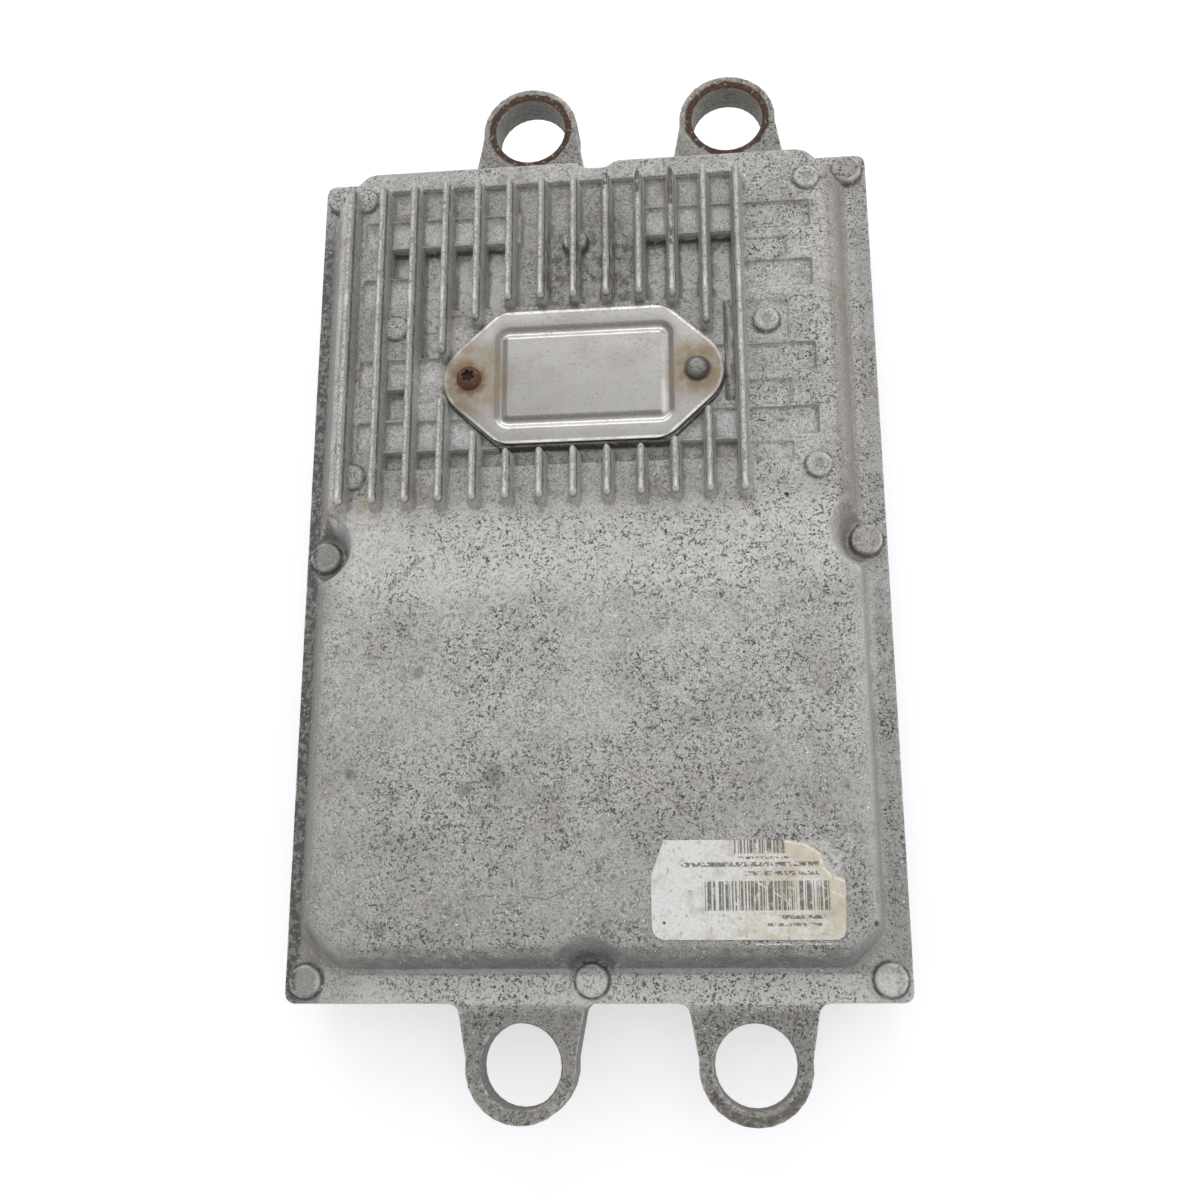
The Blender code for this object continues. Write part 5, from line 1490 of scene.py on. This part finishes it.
@dataclass
class Studio:
    """Pale floor, soft lamps and the camera at the photograph's place.

    Each lamp is its name, its middle, the length of its side and its watts.
    """

    floor_size: float = 6.0
    camera_place: Triple = (0.041337, -0.114853, 0.408123)
    camera_turn: Triple = (0.2589, 0.1025, -0.0170)
    focal_length: float = 40.885
    floor_colour: Four = (0.64, 0.63, 0.66, 1.0)
    floor_glow: float = 0.50
    room_light: float = 0.60
    lamps: tuple[tuple[str, Triple, float, float], ...] = (
        ("rear", (-0.10, 0.85, 0.75), 0.90, 4.0),
        ("sky", (0.10, 0.05, 1.25), 1.00, 2.8),
        ("right", (0.95, 0.15, 0.55), 0.90, 2.6),
        ("left", (-0.95, 0.30, 0.60), 0.90, 0.4))

    def lamp(self, name: str, place: Triple, size: float,
             watts: float) -> None:
        """Hangs one square soft lamp that faces the part.

        Args:
            name: the lamp's name.
            place: its middle.
            size: length of its side.
            watts: its power.
        """
        light = bpy.data.lights.new(name, "AREA")
        light.size = size
        light.energy = watts
        made = bpy.data.objects.new(name, light)
        bpy.context.scene.collection.objects.link(made)
        made.location = place
        made.rotation_euler = (-Vector(place)).to_track_quat("-Z", "Y").to_euler()

    def floor(self) -> None:
        """Lays a floor that is white to the eye and still takes the part's shadow."""
        bm = bmesh.new()
        bmesh.ops.create_grid(bm, x_segments=1, y_segments=1, size=self.floor_size / 2)
        made = new_piece(bm, "floor")
        material = bpy.data.materials.new("white_floor")
        material.use_nodes = True
        tree = material.node_tree
        tree.nodes.clear()
        seen = add_node(tree, "ShaderNodeLightPath").outputs
        share = add_node(tree, "ShaderNodeMath", {0: seen["Is Camera Ray"],
                                                  1: seen["Is Glossy Ray"]}, operation="MAXIMUM")
        share = add_node(tree, "ShaderNodeMath", {0: share.outputs[0],
                                                  1: seen["Is Transmission Ray"]},
                         operation="MAXIMUM")
        share = add_node(tree, "ShaderNodeMath", {0: share.outputs[0], 1: self.floor_glow},
                         operation="MULTIPLY")
        glow = add_node(tree, "ShaderNodeEmission", {0: WHITE, 1: share.outputs[0]})
        matte = add_node(tree, "ShaderNodeBsdfDiffuse", {0: self.floor_colour})
        both = add_node(tree, "ShaderNodeAddShader", {0: matte.outputs[0], 1: glow.outputs[0]})
        add_node(tree, "ShaderNodeOutputMaterial", {0: both.outputs[0]})
        made.data.materials.append(material)
        made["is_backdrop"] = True

    def room(self) -> None:
        """Fills the room with soft light."""
        world = bpy.data.worlds.new("soft_room")
        world.use_nodes = True
        backdrop = world.node_tree.nodes["Background"]
        backdrop.inputs[0].default_value = WHITE
        backdrop.inputs[1].default_value = self.room_light
        bpy.context.scene.world = world

    def camera(self) -> None:
        """Sets the camera where the photograph was taken from."""
        lens = bpy.data.cameras.new("camera")
        lens.sensor_width = 36.0
        lens.lens = self.focal_length
        lens.clip_start = 0.01
        camera = bpy.data.objects.new("camera", lens)
        bpy.context.scene.collection.objects.link(camera)
        axis = Vector(self.camera_turn)
        camera.rotation_mode = "QUATERNION"
        camera.rotation_quaternion = Quaternion(axis.normalized(), axis.length)
        camera.location = self.camera_place
        bpy.context.scene.camera = camera

    def build(self) -> None:
        """Sets floor, lamps, room light and camera."""
        self.floor()
        for lamp in self.lamps:
            self.lamp(*lamp)
        self.room()
        self.camera()
        bpy.context.scene.view_settings.view_transform = "Standard"


# Finishes of the nodes that stay as they are, and how the nodes' names start. A screw's row comes
# after its board's, because its name starts with the board's.
HIDDEN_FINISHES: tuple[tuple[PlainFinish, tuple[str, ...]], ...] = (
    (PlainFinish("nitrile_gasket", "#232322", "#3a3835", 0.75), ("access_cover_gasket",)),
    (PlainFinish("silicone_gasket", "#2a2a29", "#403e3b", 0.70), ("housing_gasket",)),
    (PlainFinish("moulded_glass_filled_nylon", "#1d1d1e", "#2c2b2a", 0.52),
     ("connector_header",)),
    (PlainFinish("solder_masked_laminate", "#1f4a33", "#27573d", 0.38),
     ("driver_board", "logic_board")),
    (PlainFinish("transfer_moulded_epoxy", "#1b1b1c", "#29292a", 0.60),
     ("power_transistor", "processor")),
    (PlainFinish("moulded_nylon_link", "#2a2a2c", "#353537", 0.50), ("board_link",)),
    (PlainFinish("shrink_sleeve", "#20242e", "#2a3040", 0.35), ("storage_capacitor",)),
    (PlainFinish("enamelled_copper", "#a5602c", "#7f4620", 0.35, 0.8), ("boost_coil",)),
    (PlainFinish("bright_zinc", "#b9bab8", "#9b9b97", 0.35, 0.9),
     ("driver_board_screw", "logic_board_screw")),
)


def main() -> None:
    """Builds every piece in order and reports it."""
    logging.basicConfig(level=logging.INFO, format="%(message)s")
    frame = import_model()
    cad_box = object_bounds()
    nodes = frame["nodes"]
    dresser = Dresser(nodes)
    for recipe, prefixes in HIDDEN_FINISHES:
        for prefix in prefixes:
            dresser.dress_nodes(recipe, prefix)
    housing = SoftenedCasting("weathered_housing", zones=True)
    dresser.place(housing.build(nodes["finned_housing"]), WeatheredCasting(), "cast_aluminium",
                  "finned_housing")
    lower = SoftenedCasting("weathered_base", voxel=0.6 * MM, triangles=120000)
    dresser.place(lower.build(nodes["base_cover"]),
                  PlainFinish("dull_cast_aluminium", "#a9a7a3", "#8b8883", 0.6, 0.5, 1.0),
                  "cast_aluminium_cover", "base_cover")
    dresser.place(AccessCover().build(), PressedSheet(), "plated_sheet", "access_cover")
    short, long = (0.0040, 0.0066), (0.0040, 0.0140)
    left = ScrewHead(COVER_SCREWS[0], COVER_SCREW_SEAT, 0.0072, 0.0025, short, turn=0.3)
    dresser.place(left.build("rusted_cover_screw"),
                  ScrewMetal("rusted_steel", "#6f6a66", "#583c2e", "#8a6142", 1.0,
                             (*COVER_SCREWS[0], 0.0024, 0.0486)),
                  "zinc_plated_steel", "access_cover_screw_1")
    right = ScrewHead(COVER_SCREWS[1], COVER_SCREW_SEAT, 0.0067, 0.0024, short, lobes=False)
    dresser.place(right.build("dull_cover_screw"),
                  ScrewMetal("dulled_zinc_plating", "#7f7d7b", "#6d5f52", "#8f7a63", 0.1),
                  "zinc_plated_steel", "access_cover_screw_2")
    zinc = ScrewMetal("aged_zinc_plating", "#a3a19c", "#75604d", "#8f7a63", 0.25)
    for name, node in nodes.items():
        if name.startswith("base_cover_screw"):
            low, high = (Vector(node.bound_box[corner]) for corner in (0, 6))
            middle = (low + high) / 2
            screw = ScrewHead((middle.x, middle.y), low.z + 0.0026, 0.0078, 0.0026, long,
                              Facing.DOWN)
            dresser.place(screw.build(name.replace("base_cover", "recessed")), zinc,
                          "zinc_plated_steel", name)
    gold = PlainFinish("tinned_contact_brass", "#b9a878", "#8f8362", 0.30, 0.9)
    for name in ("left", "middle", "right"):
        pins = ContactPins(nodes["connector_header_" + name])
        dresser.place(pins.build("contact_pins_" + name), gold, None)
    dresser.place(PaperLabel().build(), WornPaper(), "label_paper", "paper_label")
    Studio().build()
    boxes = {"cad": cad_box, "visual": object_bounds()}
    {key: [[float(v) for v in end] for end in box] for key, box in boxes.items()}


if __name__ == "__main__":
    main()
